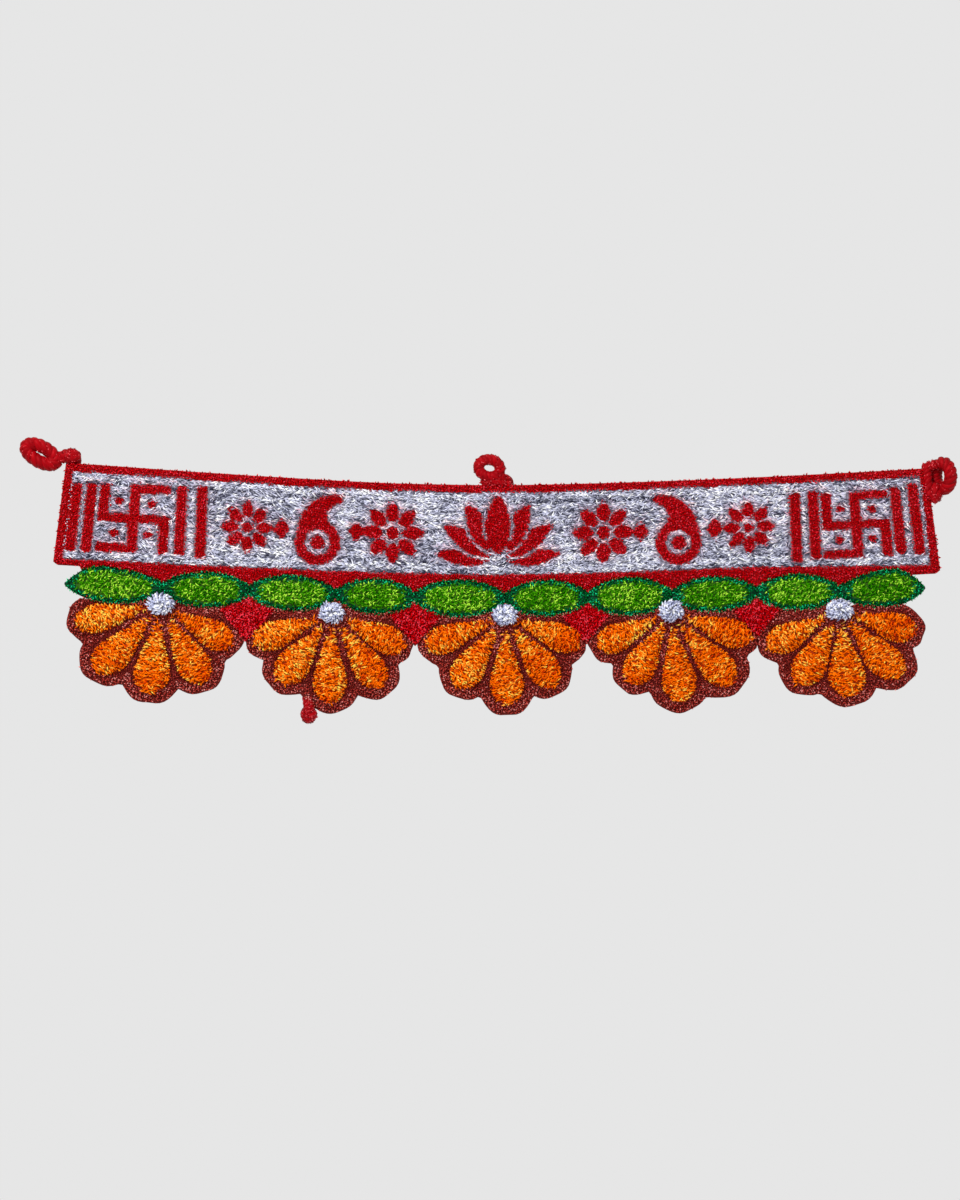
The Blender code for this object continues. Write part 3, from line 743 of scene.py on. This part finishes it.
root_s, root_t = scattered(-HALF_LENGTH + 0.5, HALF_LENGTH, 0.6, 108.0, 1.5)
fuzz_s = root_s + RNG.normal(0.0, 0.35, root_s.shape)
fuzz_t = root_t + RNG.normal(0.0, 0.35, root_s.shape)
kept = (root_t < hem_line(root_s) - 0.6) & (red_motif(fuzz_s, drawn(fuzz_s, fuzz_t))
                                            | ~on_field(fuzz_s, fuzz_t))
s = root_s[kept]
t = root_t[kept]
edging = ~on_field(s, t)
top = heading_top(s, t)
nearest = np.minimum(np.minimum(t, hem_line(s) - t), HALF_LENGTH - np.abs(s))
roll = 1.6 * np.exp(-nearest / 1.6)
red_pile = pile("red_pile", s, drawn(s, t), top - 3.7 - roll, RNG.uniform(0.0, 2.0 * np.pi, s.shape),
                RNG.uniform(1.0, 2.6, s.shape), RNG.uniform(3.3, 4.1, s.shape),
                RNG.uniform(1.2, 1.8, s.shape), tone_of(s, t, 0.22, 0.12), RED_YARN)

# The garland: ten padded mango leaves tufted in two greens, their tips sewn together. The dark
# edge yarn leans outwards, and the light heart yarn lies across the leaf in bright flecks.
LEAF_TOP = 7.4
GREEN_GROUND = (0.03, 0.10, 0.005)
EDGE_GROUND = (0.002, 0.045, 0.02)
LIGHT_GREEN_YARN = yarn("light_green_yarn", (0.003, 0.10, 0.0002), (0.05, 0.31, 0.0002),
                        (0.50, 0.90, 0.06), 0.15, 0.06)
DARK_GREEN_YARN = yarn("dark_green_yarn", (0.0002, 0.04, 0.006), (0.0004, 0.17, 0.03),
                       (0.01, 0.66, 0.28), 0.15, 0.1)


def leaf_edge_distance(s, t):
    """Distance in mm from a point of the garland to its dark edge line, from the half height."""
    axis, half, share, number = garland(s)
    length = JOINT_S[number + 1] - JOINT_S[number]
    slope = np.clip(np.abs(2.0 * share - 1.0), 0.0, 1.0) ** 3 * 1.3
    across = (half - np.abs(t - axis)) / np.sqrt(1.0 + slope ** 2)
    ends = np.minimum(share, 1.0 - share) * length
    return np.minimum(across, (ends - 2.0) * 0.62)


def leaf_top(s, t):
    """Pile surface of a leaf: a dome LEAF_TOP high with a soft shoulder, 4.2 at the rim."""
    axis, half, share, number = garland(s)
    u = np.clip(np.maximum(np.abs(t - axis) / half, np.abs(2.0 * share - 1.0)), 0.0, 1.0)
    return LEAF_TOP - (LEAF_TOP - 4.2) * u ** 4


for number in range(10):
    columns = np.linspace(JOINT_S[number] - 0.2, JOINT_S[number + 1] + 0.2, 38)
    across = np.linspace(-1.0, 1.0, 17)
    axis, half, share, leaf = garland(columns)
    grid_s = np.broadcast_to(columns[:, None], (38, 17)).copy()
    grid_t = axis[:, None] + half[:, None] * across[None, :]
    rim = np.maximum(np.abs(across)[None, :], np.abs(2.0 * share - 1.0)[:, None] ** 3)
    face = leaf_top(grid_s, grid_t) - 3.0 - 1.2 * rim ** 8
    dark = leaf_edge_distance(grid_s, grid_t) < 5.2
    colours = np.where(dark[..., None], np.array(EDGE_GROUND), np.array(GREEN_GROUND))
    leaf_pad = cloth_body("leaf_pad_%d" % (number + 1), grid_s, grid_t, face, CLOTH_BACK, colours)
    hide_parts("leaf_%d" % (number + 1))
    s, t = scattered(JOINT_S[number] + 0.4, JOINT_S[number + 1] - 0.4, 90.0, 138.0, 1.5)
    distance = leaf_edge_distance(s, t)
    axis, half, share, leaf = garland(s)
    kept = np.abs(t - axis) < half - 0.6
    s = s[kept]
    t = t[kept]
    distance = distance[kept] + RNG.normal(0.0, 0.9, s.shape)
    axis = axis[kept]
    for label, mine, paint in (("heart", distance > 5.6, LIGHT_GREEN_YARN),
                               ("edge", distance <= 5.6, DARK_GREEN_YARN)):
        hs = s[mine]
        ht = t[mine]
        if label == "heart":
            heading = RNG.normal(-0.7, 0.8, hs.shape) + np.pi * (RNG.random(hs.shape) < 0.3)
            lean = RNG.uniform(2.8, 5.4, hs.shape)
        else:
            heading = (np.where(ht > axis[mine], 0.5 * np.pi, -0.5 * np.pi)
                       + RNG.normal(0.0, 0.8, hs.shape))
            lean = RNG.uniform(1.4, 3.0, hs.shape)
        piece = pile("leaf_%s_%d" % (label, number + 1), hs, ht, leaf_top(hs, ht) - 4.0, heading,
                     lean, RNG.uniform(3.4, 4.4, hs.shape), RNG.uniform(1.4, 2.1, hs.shape),
                     tone_of(hs, ht, 0.28, 0.2, 0.7), paint)

# Between the flowers hang red lozenges, sewn up to the garland's joints.
LOZENGES = np.array([(-240.5, 25.4, 129.0, 159.5), (-79.0, 23.6, 130.5, 157.6),
                     (87.6, 22.2, 130.0, 155.0), (251.5, 20.6, 131.0, 155.4)])


def in_lozenge(number, s, t, grow=0.0):
    """Inside a lozenge: below the garland, and |s - centre| within a half width that shrinks
    evenly from the widest line to the tip."""
    centre, half, widest, tip = LOZENGES[number]
    axis, rise, share, leaf = garland(s)
    low = np.clip((tip + grow - t) / (tip - widest), 0.0, 1.0)
    inside = np.abs(s - centre) < (half + grow) * low
    return inside & (t > axis + rise - 0.3 - grow)


def outline(hub, holds, reach):
    """The rim about a hub: in each of 132 directions, the first radius where holds() fails."""
    angles = np.radians(np.linspace(-180.0, 180.0, 132, endpoint=False))
    radii = np.arange(2.0, reach, 0.25)
    s = hub[0] + np.sin(angles)[:, None] * radii[None, :]
    t = hub[1] + np.cos(angles)[:, None] * radii[None, :]
    out = ~holds(s, t)
    out[:, -1] = True
    return angles, radii[np.argmax(out, axis=1)]


for number in range(4):
    hub = (LOZENGES[number][0], LOZENGES[number][2] + 1.0)
    angles, radii = outline(hub, lambda s, t: in_lozenge(number, s, t, 1.4), 36.0)

    def low_dome(s, t, share):
        """Ground of a lozenge, a low dome."""
        return 3.4 - 1.9 * share ** 6

    lozenge_pad = round_body("lozenge_pad_%d" % (number + 1), hub, angles, radii,
                             np.linspace(0.14, 1.0, 8), low_dome, CLOTH_BACK,
                             lambda s, t: np.broadcast_to(np.array(RED_GROUND), s.shape + (3,)))
    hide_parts("diamond_%d" % (number + 1))
    s, t = scattered(hub[0] - 28.0, hub[0] + 28.0, 112.0, 162.0, 1.4)
    kept = in_lozenge(number, s, t, -0.6)
    s = s[kept]
    t = t[kept]
    piece = pile("lozenge_pile_%d" % (number + 1), s, t, np.full(s.shape, 2.8),
                 RNG.normal(0.5 * np.pi, 1.0, s.shape), RNG.uniform(1.6, 3.6, s.shape),
                 RNG.uniform(3.4, 4.3, s.shape), RNG.uniform(1.3, 2.0, s.shape),
                 tone_of(s, t, 0.24, 0.16, 0.8) + 0.05, RED_YARN)

# Half marigolds: five raised petals in shaded orange yarn, fanned about the heart, parted and
# edged with maroon. The petals' yarn lies across them, so it frays over the maroon grooves.
FLOWERS = (
    (-320.2, 128.2, ((-74.0, 86.0), (-38.0, 96.0), (-4.0, 97.0), (30.0, 94.5), (62.0, 84.0))),
    (-159.9, 129.6, ((-67.0, 88.0), (-35.0, 94.0), (-1.0, 98.0), (35.0, 95.5), (66.0, 85.0))),
    (8.3, 128.0, ((-68.0, 90.5), (-34.0, 94.0), (2.0, 98.0), (36.0, 94.5), (68.0, 88.0))),
    (170.0, 128.4, ((-66.0, 85.5), (-30.0, 88.5), (6.0, 99.5), (38.0, 102.0), (68.0, 89.5))),
    (327.1, 134.0, ((-64.0, 82.5), (-29.0, 90.0), (3.0, 94.5), (36.0, 93.0), (69.0, 79.0))),
)
PETAL_HALF_WIDTHS = (13.6, 15.2, 15.8, 15.2, 13.6)
RIM_WIDTHS = (8.0, 9.8, 10.4, 9.8, 8.0)
ORANGE_GROUND = (0.40, 0.03, 0.0006)
MAROON_GROUND = (0.15, 0.012, 0.009)
ORANGE_YARN = yarn("orange_yarn", (0.62, 0.035, 0.0002), (1.0, 0.185, 0.0004), (1.0, 0.70, 0.09),
                   0.25, 0.06)
MAROON_YARN = yarn("maroon_yarn", (0.15, 0.004, 0.003), (0.44, 0.045, 0.033), (0.80, 0.27, 0.24),
                   0.15, 0.12)


def lobe(flower, degrees):
    """Scalloped rim: the largest over the petals of reach x (1 - 0.125 |off|^2.2), off being the
    angle from the petal's line in 17 degree steps. Beside a lozenge it runs on up to the leaf."""
    best = np.full(np.shape(degrees), 8.0)
    first = degrees < flower[2][0][0]
    last = degrees > flower[2][4][0]
    best = np.where(first & (flower[0] > -300.0), flower[2][0][1], best)
    best = np.where(last & (flower[0] < 300.0), flower[2][4][1], best)
    for angle, reach in flower[2]:
        off = np.abs(degrees - angle) / 17.0
        best = np.maximum(best, reach * (1.0 - 0.125 * off ** 2.2))
    return best


def about_heart(flower, s, t):
    """Distance from the flower's heart and direction in degrees, 0 being straight down."""
    return (np.hypot(s - flower[0], t - flower[1]),
            np.degrees(np.arctan2(s - flower[0], t - flower[1])))


def petal_of(flower, s, t):
    """How far inside its nearest petal a point is, 1 on the petal's spine and 0 at its edge, and
    that petal's number and the side of the spine. A petal's half width at a of its length is
    half x sin(pi a^2.2)^0.6, and at most r sin(17.2 degrees) - 1.2, which keeps the grooves."""
    radius, degrees = about_heart(flower, s, t)
    best = np.full(np.shape(s), -1.0)
    which = np.zeros(np.shape(s), int)
    side = np.zeros(np.shape(s))
    place = np.zeros(np.shape(s))
    for number, (angle, reach) in enumerate(flower[2]):
        off = np.radians(degrees - angle)
        half = PETAL_HALF_WIDTHS[number]
        along = radius * np.cos(off) / (reach - RIM_WIDTHS[number])
        a = np.clip((along - 0.14) / 0.86, 0.0, 1.0)
        swell = half * np.clip(np.sin(np.pi * a ** 2.2), 0.0, 1.0) ** 0.6
        swell = np.maximum(np.minimum(swell, radius * 0.296 - 1.2), 0.5)
        inside = (along > 0.14) & (along < 1.0) & (np.abs(off) < 1.2)
        aside = radius * np.sin(off)
        value = np.where(inside, 1.0 - np.abs(aside) / swell, -1.0)
        better = value > best
        best = np.where(better, value, best)
        which = np.where(better, number, which)
        side = np.where(better, np.sign(aside), side)
        place = np.where(better, along, place)
    return best, which, side, place


def in_flower(number, s, t, inset=0.0):
    """Inside a flower: under the garland, between its neighbours, within its scalloped rim."""
    flower = FLOWERS[number]
    low = LOZENGES[number - 1][0] if number > 0 else -500.0
    high = LOZENGES[number][0] if number < 4 else 500.0
    axis, half, share, leaf = garland(s)
    inside = (t > axis + half - 1.4) & (s > low) & (s < high)
    for wall in range(4):
        inside &= ~in_lozenge(wall, s, t)
    radius, degrees = about_heart(flower, s, t)
    rim = lobe(flower, degrees) + 0.7 * np.sin(degrees * 0.41 + 2.0 * number)
    return inside & (radius < rim - inset)


def petal_relief(flower, s, t):
    """Pile surface of a flower: 5.4 in the grooves and 8.2 on the petals."""
    best, which, side, place = petal_of(flower, s, t)
    radius, degrees = about_heart(flower, s, t)
    relief = 5.4 + 2.8 * np.clip(1.8 * np.clip(best, 0.0, 1.0), 0.0, 1.0)
    return np.where(radius < 16.0, 7.2, relief)


for number in range(5):
    flower = FLOWERS[number]
    hub = (flower[0], flower[1] + 15.0)
    angles, radii = outline(hub, lambda s, t: in_flower(number, s, t, 0.4), 118.0)

    def flower_ground(s, t, share):
        """Ground under the petals' pile, rolled over at the rim."""
        return petal_relief(flower, s, t) - 3.4 - 1.0 * share ** 14

    def flower_colour(s, t):
        """Orange under the petals, maroon between them."""
        best, which, side, place = petal_of(flower, s, t)
        return np.where((best > 0.0)[..., None], np.array(ORANGE_GROUND), np.array(MAROON_GROUND))

    flower_pad = round_body("flower_pad_%d" % (number + 1), hub, angles, radii,
                            np.linspace(0.04, 1.0, 34), flower_ground, CLOTH_BACK, flower_colour)
    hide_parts("flower_%d" % (number + 1))
    s, t = scattered(flower[0] - 100.0, flower[0] + 100.0, 112.0, 232.0, 1.6)
    kept = in_flower(number, s, t, 1.5)
    s = s[kept]
    t = t[kept]
    best, which, side, place = petal_of(flower, s, t)
    orange = best + RNG.normal(0.0, 0.03, s.shape) > 0.03
    spine = np.radians(np.array(flower[2])[which, 0])
    outward_s = np.cos(spine) * side
    outward_t = -np.sin(spine) * side
    across = np.arctan2(outward_t, outward_s)
    for label, mine, paint in (("petals", orange, ORANGE_YARN), ("edge", ~orange, MAROON_YARN)):
        ps = s[mine]
        pt = t[mine]
        top = petal_relief(flower, ps, pt)
        if label == "petals":
            inner = np.clip(best[mine] * 2.5, 0.0, 1.0)
            crossing = RNG.random(ps.shape) < 0.5 * inner
            heading = across[mine] + RNG.normal(0.0, 0.6, ps.shape) + np.pi * crossing
            lean = RNG.uniform(3.4, 6.6, ps.shape) * (0.3 + 0.7 * inner)
            # The tone is lighter towards the heart and on the left-hand petals: a painted highlight.
            tone = tone_of(ps, pt, 0.19, 0.32, 0.6) + 0.16 - 0.24 * place[mine]
            tone += 0.05 - 0.035 * which[mine]
        else:
            heading = RNG.uniform(0.0, 2.0 * np.pi, ps.shape)
            groove = np.exp(-(np.clip(-best[mine], 0.0, 1.0) / 0.35) ** 2) * (place[mine] > 0.3)
            groove = np.where(place[mine] < 0.95, groove, 0.0)
            lean = RNG.uniform(1.0, 2.6, ps.shape) * (1.0 - 0.6 * groove)
            # The tone is darker along the grooves between the raised petals: painted shade.
            tone = tone_of(ps, pt, 0.22, 0.15) - 0.3 * groove + 0.06
        piece = pile("flower_%s_%d" % (label, number + 1), ps, pt, top - 4.2, heading, lean,
                     RNG.uniform(3.8, 4.9, ps.shape), RNG.uniform(1.6, 2.4, ps.shape), tone,
                     paint)

# White knots of thick cut yarn, tied through the flowers' hearts: the ends swirl outwards round
# each knot and fold over it in the middle.
KNOT_BACK = 7.0
WHITE_GROUND = (0.28, 0.28, 0.40)
WHITE_YARN = yarn("white_yarn", (0.12, 0.13, 0.25), (0.52, 0.55, 0.75), (1.0, 1.0, 1.0), 0.4)

for number in range(5):
    flower = FLOWERS[number]
    hub = (flower[0], flower[1] - 1.0)
    angles = np.radians(np.linspace(-180.0, 180.0, 60, endpoint=False))
    radii = 9.8 + 0.8 * np.cos(2.0 * angles + np.pi) + 0.3 * np.sin(5.0 * angles)

    def knot_dome(s, t, share):
        """Dome of the knot under its ends."""
        return KNOT_BACK + 1.0 + 3.6 * np.sqrt(np.clip(1.0 - share ** 2, 0.0, 1.0))

    knot_body = round_body("knot_body_%d" % (number + 1), hub, angles, radii,
                           np.linspace(0.15, 1.0, 9), knot_dome, KNOT_BACK,
                           lambda s, t: np.broadcast_to(np.array(WHITE_GROUND), s.shape + (3,)))
    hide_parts("knot_%d" % (number + 1))
    count = 150
    rank = (np.arange(count) + 0.5) / count
    away = 9.0 * rank ** 0.55
    turn = np.arange(count) * 2.39996 + number
    swirl = 0.3 + 0.2 * rank + RNG.uniform(-0.9, 0.9, count)
    reach = 4.2 + 1.4 * rank ** 2 + RNG.uniform(-0.8, 0.8, count)
    base_depth = KNOT_BACK + 1.0 + 3.6 * np.sqrt(np.clip(1.0 - (away / 10.9) ** 2, 0.0, 1.0)) - 0.8
    rise = 3.4 - 2.2 * rank ** 1.5 + RNG.normal(0.0, 0.4, count)

    def on_knot(radius, angle):
        """A place about the knot, wider than it is tall."""
        return hub[0] + 1.07 * radius * np.cos(angle), hub[1] + 0.9 * radius * np.sin(angle)

    root_s, root_t = on_knot(away, turn)
    aim = turn + swirl
    bend_s = root_s + 0.55 * reach * np.cos(aim)
    bend_t = root_t + 0.5 * reach * np.sin(aim)
    tip_s = bend_s + 0.45 * reach * np.cos(aim + 0.5)
    tip_t = bend_t + 0.4 * reach * np.sin(aim + 0.5)
    side = np.stack([np.sin(aim), np.zeros(count), np.cos(aim)], axis=-1)
    lift = np.broadcast_to(np.array([0.0, -1.0, 0.0]), side.shape)
    # The ends' tone is darker towards the knot's rim: painted shade round a lighter middle.
    ends = tufts("knot_ends_%d" % (number + 1), hang(root_s, root_t, base_depth),
                 hang(bend_s, bend_t, base_depth + rise), hang(tip_s, tip_t, base_depth + rise),
                 side, lift, RNG.uniform(2.3, 3.3, count),
                 0.72 + RNG.normal(0.0, 0.26, count) - 0.3 * rank, WHITE_YARN)

# Loops of plump three-ply red cord: one stands up at the left end beside its knot, one on the
# middle of the top edge, and a long one at the right end. Their tails are sewn behind the heading.
CORD_YARN = yarn("cord_yarn", (0.09, 0.0003, 0.001), (0.27, 0.0006, 0.003), (0.90, 0.10, 0.12), 0.25)


def tube(path, radius, closed):
    """A round tube along a path: rings of 12 points at radius (cos a n + sin a b) from it.

    Returns its points, the share of the way round of each, and its face arrays.
    """
    count = len(path)
    ahead = np.roll(path, -1, axis=0) - np.roll(path, 1, axis=0)
    if not closed:
        ahead[0] = path[1] - path[0]
        ahead[-1] = path[-1] - path[-2]
    ahead /= np.linalg.norm(ahead, axis=1)[:, None]
    n = np.cross(ahead, np.array([0.0, 1.0, 0.12]))
    n /= np.linalg.norm(n, axis=1)[:, None]
    b = np.cross(ahead, n)
    a = np.linspace(0.0, 2.0 * np.pi, 12, endpoint=False)[None, :, None]
    radius = np.broadcast_to(np.asarray(radius, float), (count,))
    points = path[:, None, :] + radius[:, None, None] * (np.cos(a) * n[:, None, :]
                                                        + np.sin(a) * b[:, None, :])
    index = np.arange(count * 12).reshape(count, 12)
    here = index if closed else index[:-1]
    there = np.roll(index, -1, axis=0) if closed else index[1:]
    quads = np.stack([here.ravel(), np.roll(here, -1, axis=1).ravel(),
                      np.roll(there, -1, axis=1).ravel(), there.ravel()], axis=1)
    faces = [quads]
    points = points.reshape(-1, 3)
    if not closed:
        points = np.concatenate([points, path[:1] - ahead[:1] * radius[0] * 0.5,
                                 path[-1:] + ahead[-1:] * radius[-1] * 0.5])
        first = count * 12
        faces.append(np.stack([np.full(12, first), np.roll(index[0], -1), index[0]], axis=1))
        faces.append(np.stack([np.full(12, first + 1), index[-1], np.roll(index[-1], -1)], axis=1))
    return points, faces


def twisted(path, radius, turns, closed):
    """Three plies round a path: each is a tube of 0.58 radius whose middle runs at 0.46 radius
    from the path, at the angle 2 pi (turns u + ply / 3)."""
    count = len(path)
    ahead = np.roll(path, -1, axis=0) - np.roll(path, 1, axis=0)
    if not closed:
        ahead[0] = path[1] - path[0]
        ahead[-1] = path[-1] - path[-2]
    ahead /= np.linalg.norm(ahead, axis=1)[:, None]
    n = np.cross(ahead, np.array([0.0, 1.0, 0.12]))
    n /= np.linalg.norm(n, axis=1)[:, None]
    b = np.cross(ahead, n)
    u = np.arange(count) / (count if closed else count - 1)
    plies = []
    for ply in range(3):
        a = 2.0 * np.pi * (turns * u + ply / 3.0)
        middle = path + 0.46 * radius * (np.cos(a)[:, None] * n + np.sin(a)[:, None] * b)
        plies.append(tube(middle, 0.58 * radius, closed))
    return plies


def curve(knots, count):
    """A smooth path through knots: a Catmull-Rom spline, count points."""
    knots = np.asarray(knots, float)
    padded = np.concatenate([[2.0 * knots[0] - knots[1]], knots, [2.0 * knots[-1] - knots[-2]]])
    u = np.linspace(0.0, len(knots) - 1.0, count)
    i = np.minimum(u.astype(int), len(knots) - 2)
    f = (u - i)[:, None]
    p0, p1, p2, p3 = padded[i], padded[i + 1], padded[i + 2], padded[i + 3]
    return 0.5 * (2.0 * p1 + (p2 - p0) * f + (2.0 * p0 - 5.0 * p1 + 4.0 * p2 - p3) * f ** 2
                  + (3.0 * p1 - p0 - 3.0 * p2 + p3) * f ** 3)


def beside(across, rise, d):
    """Hung place in mm of a point of a loop, which stands beside or above the heading."""
    return np.array([across, MID_DEPTH - d - float(wave(across, 0.0)), rise])


def ring(middle, first, second, radius, turns):
    """A twisted ring: middle + cos a first + sin a second."""
    a = np.linspace(0.0, 2.0 * np.pi, 72, endpoint=False)[:, None]
    path = middle + np.cos(a) * np.asarray(first, float) + np.sin(a) * np.asarray(second, float)
    return twisted(path, radius, turns, True)


def wound(middle, radii, cord_radius, wraps, phase):
    """A knot: turns of cord round an oval, each a great circle of it at its own tilt."""
    turns = []
    a = np.linspace(0.0, 2.0 * np.pi, 40, endpoint=False)[:, None]
    inner = np.asarray(radii, float) - cord_radius
    for wrap in range(wraps):
        tilt = phase + np.pi * wrap / wraps
        axis_one = np.array([math.cos(tilt), 0.35 * math.sin(3.0 * tilt), math.sin(tilt)])
        axis_two = np.array([0.25 * math.sin(tilt), 1.0, -0.25 * math.cos(tilt)])
        axis_two -= axis_one * axis_one.dot(axis_two) / axis_one.dot(axis_one)
        turns.append(tube(middle + (np.cos(a) * axis_one + np.sin(a) * axis_two) * inner,
                          cord_radius, True))
    return turns


def corded(name, tubes, nodes):
    """One piece of several tubes in mm, each with its own tone, and a fuzz of loose fibres."""
    points = []
    faces = []
    tones = []
    start = 0
    for number, (tube_points, tube_faces) in enumerate(tubes):
        points.append(tube_points)
        faces += [f + start for f in tube_faces]
        stripe = 0.12 * np.sin(np.arange(len(tube_points)) * 2.6)
        tones.append(0.42 + 0.1 * math.sin(number * 2.1) + stripe)
        start += len(tube_points)
    points = np.concatenate(points)
    tones = np.concatenate(tones)
    quads = np.concatenate([f for f in faces if f.shape[1] == 4])
    fans = [f for f in faces if f.shape[1] == 3]
    lists = [quads] + ([np.concatenate(fans)] if fans else [])
    piece = shaped(name, points * MM, lists, [CORD_YARN])
    layer = piece.data.color_attributes.new("strand", "FLOAT_COLOR", "POINT")
    rgba = np.ones((len(points), 4), np.float32)
    rgba[:, 0] = tones
    rgba[:, 2] = 0.0
    layer.data.foreach_set("color", rgba.ravel())
    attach(piece, "root")
    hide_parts(*nodes)
    rows = RNG.integers(0, len(quads), min(1500, len(quads)))
    corners = points[quads[rows]]
    middle = corners.mean(axis=1)
    along = corners[:, 3] - corners[:, 0]
    along /= np.linalg.norm(along, axis=1)[:, None]
    round_it = corners[:, 1] - corners[:, 0]
    out = np.cross(round_it, along)
    out /= np.linalg.norm(out, axis=1)[:, None]
    out *= np.sign(np.einsum("ij,ij->i", out, np.cross(round_it, along)))[:, None]
    aim = along * RNG.choice([-1.0, 1.0], len(rows))[:, None] + RNG.normal(0.0, 0.35,
                                                                           along.shape)
    aim -= out * np.einsum("ij,ij->i", out, aim)[:, None]
    aim /= np.linalg.norm(aim, axis=1)[:, None]
    reach = RNG.uniform(1.6, 3.2, len(rows))[:, None]
    fuzz = tufts(name + "_fuzz", (middle - out * 0.5) * MM,
                 (middle + aim * reach * 0.5 + out * 0.1) * MM, (middle + aim * reach) * MM,
                 np.cross(out, aim), out, RNG.uniform(0.8, 1.4, len(rows)),
                 RNG.normal(0.6, 0.36, len(rows)), CORD_YARN)


corded("loop_left_cord",
       ring(beside(-445.3, 30.3, 2.2), (-13.8, 0.0, 7.9), (3.7, 0.0, 6.2), 6.7, 5)
       + wound(beside(-416.9, 28.6, 2.2), (11.2, 6.8, 7.6), 3.2, 5, 0.3)
       + wound(beside(-433.4, 22.6, 2.2), (9.0, 6.4, 8.4), 3.2, 4, 1.1)
       + twisted(curve([beside(-434.6, 25.0, 2.2), beside(-420.0, 28.0, 0.6),
                        beside(-412.6, 25.0, -7.7), beside(-412.0, 4.0, -7.6)], 40),
                 6.0, 2.0, False), ["loop_left"])
corded("loop_centre_cord",
       ring(beside(-6.4, 16.6, 2.2), (10.4, 0.0, -2.0), (1.6, 0.0, 8.2), 5.4, 5)
       + twisted(curve([beside(-13.0, 1.4, 0.0), beside(-5.0, 3.4, 2.0), beside(5.0, 2.6, 2.0),
                        beside(13.5, 0.6, 0.0)], 40), 4.0, 2.0, False)
       + twisted(curve([beside(1.6, 10.6, 2.0), beside(8.0, 6.4, 1.0), beside(12.4, 3.6, -6.4),
                        beside(13.2, -7.0, -6.4)], 40), 4.6, 2.0, False), ["loop_centre"])
corded("loop_right_cord",
       ring(beside(437.4, 9.0, 2.2), (-1.0, 0.0, 12.5), (6.4, -8.4, 1.0), 6.4, 5)
       + wound(beside(427.4, 19.2, 1.5), (7.6, 5.5, 5.6), 2.4, 3, 0.4)
       + twisted(curve([beside(420.6, 20.0, 2.0), beside(421.8, 8.0, 2.0),
                        beside(423.4, -10.0, 2.0)], 30), 4.6, 2.0, False)
       + wound(beside(429.6, -7.6, 2.2), (7.4, 6.2, 10.4), 2.9, 5, 1.0)
       + twisted(curve([beside(432.0, -8.2, 2.2), beside(429.6, -12.0, -7.6),
                        beside(414.0, -13.0, -7.6)], 30), 4.2, 2.0, False), ["loop_right"])

# One yarn end, knotted to keep it from slipping, hangs at the second flower's tip.
def under(across, rise, d):
    """Hung place in mm of a point of the yarn end, under the second flower."""
    return np.array([across, MID_DEPTH - d - float(wave(-185.0, 218.0)), rise])


corded("yarn_end",
       wound(under(-183.2, -224.4, 0.2), (8.2, 6.2, 8.8), 3.0, 5, 0.9)
       + twisted(curve([under(-183.0, -221.0, 0.6), under(-183.6, -213.0, -1.0),
                        under(-185.6, -201.0, -6.0)], 24), 5.4, 1.5, False), ["end_knot"])

low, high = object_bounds()
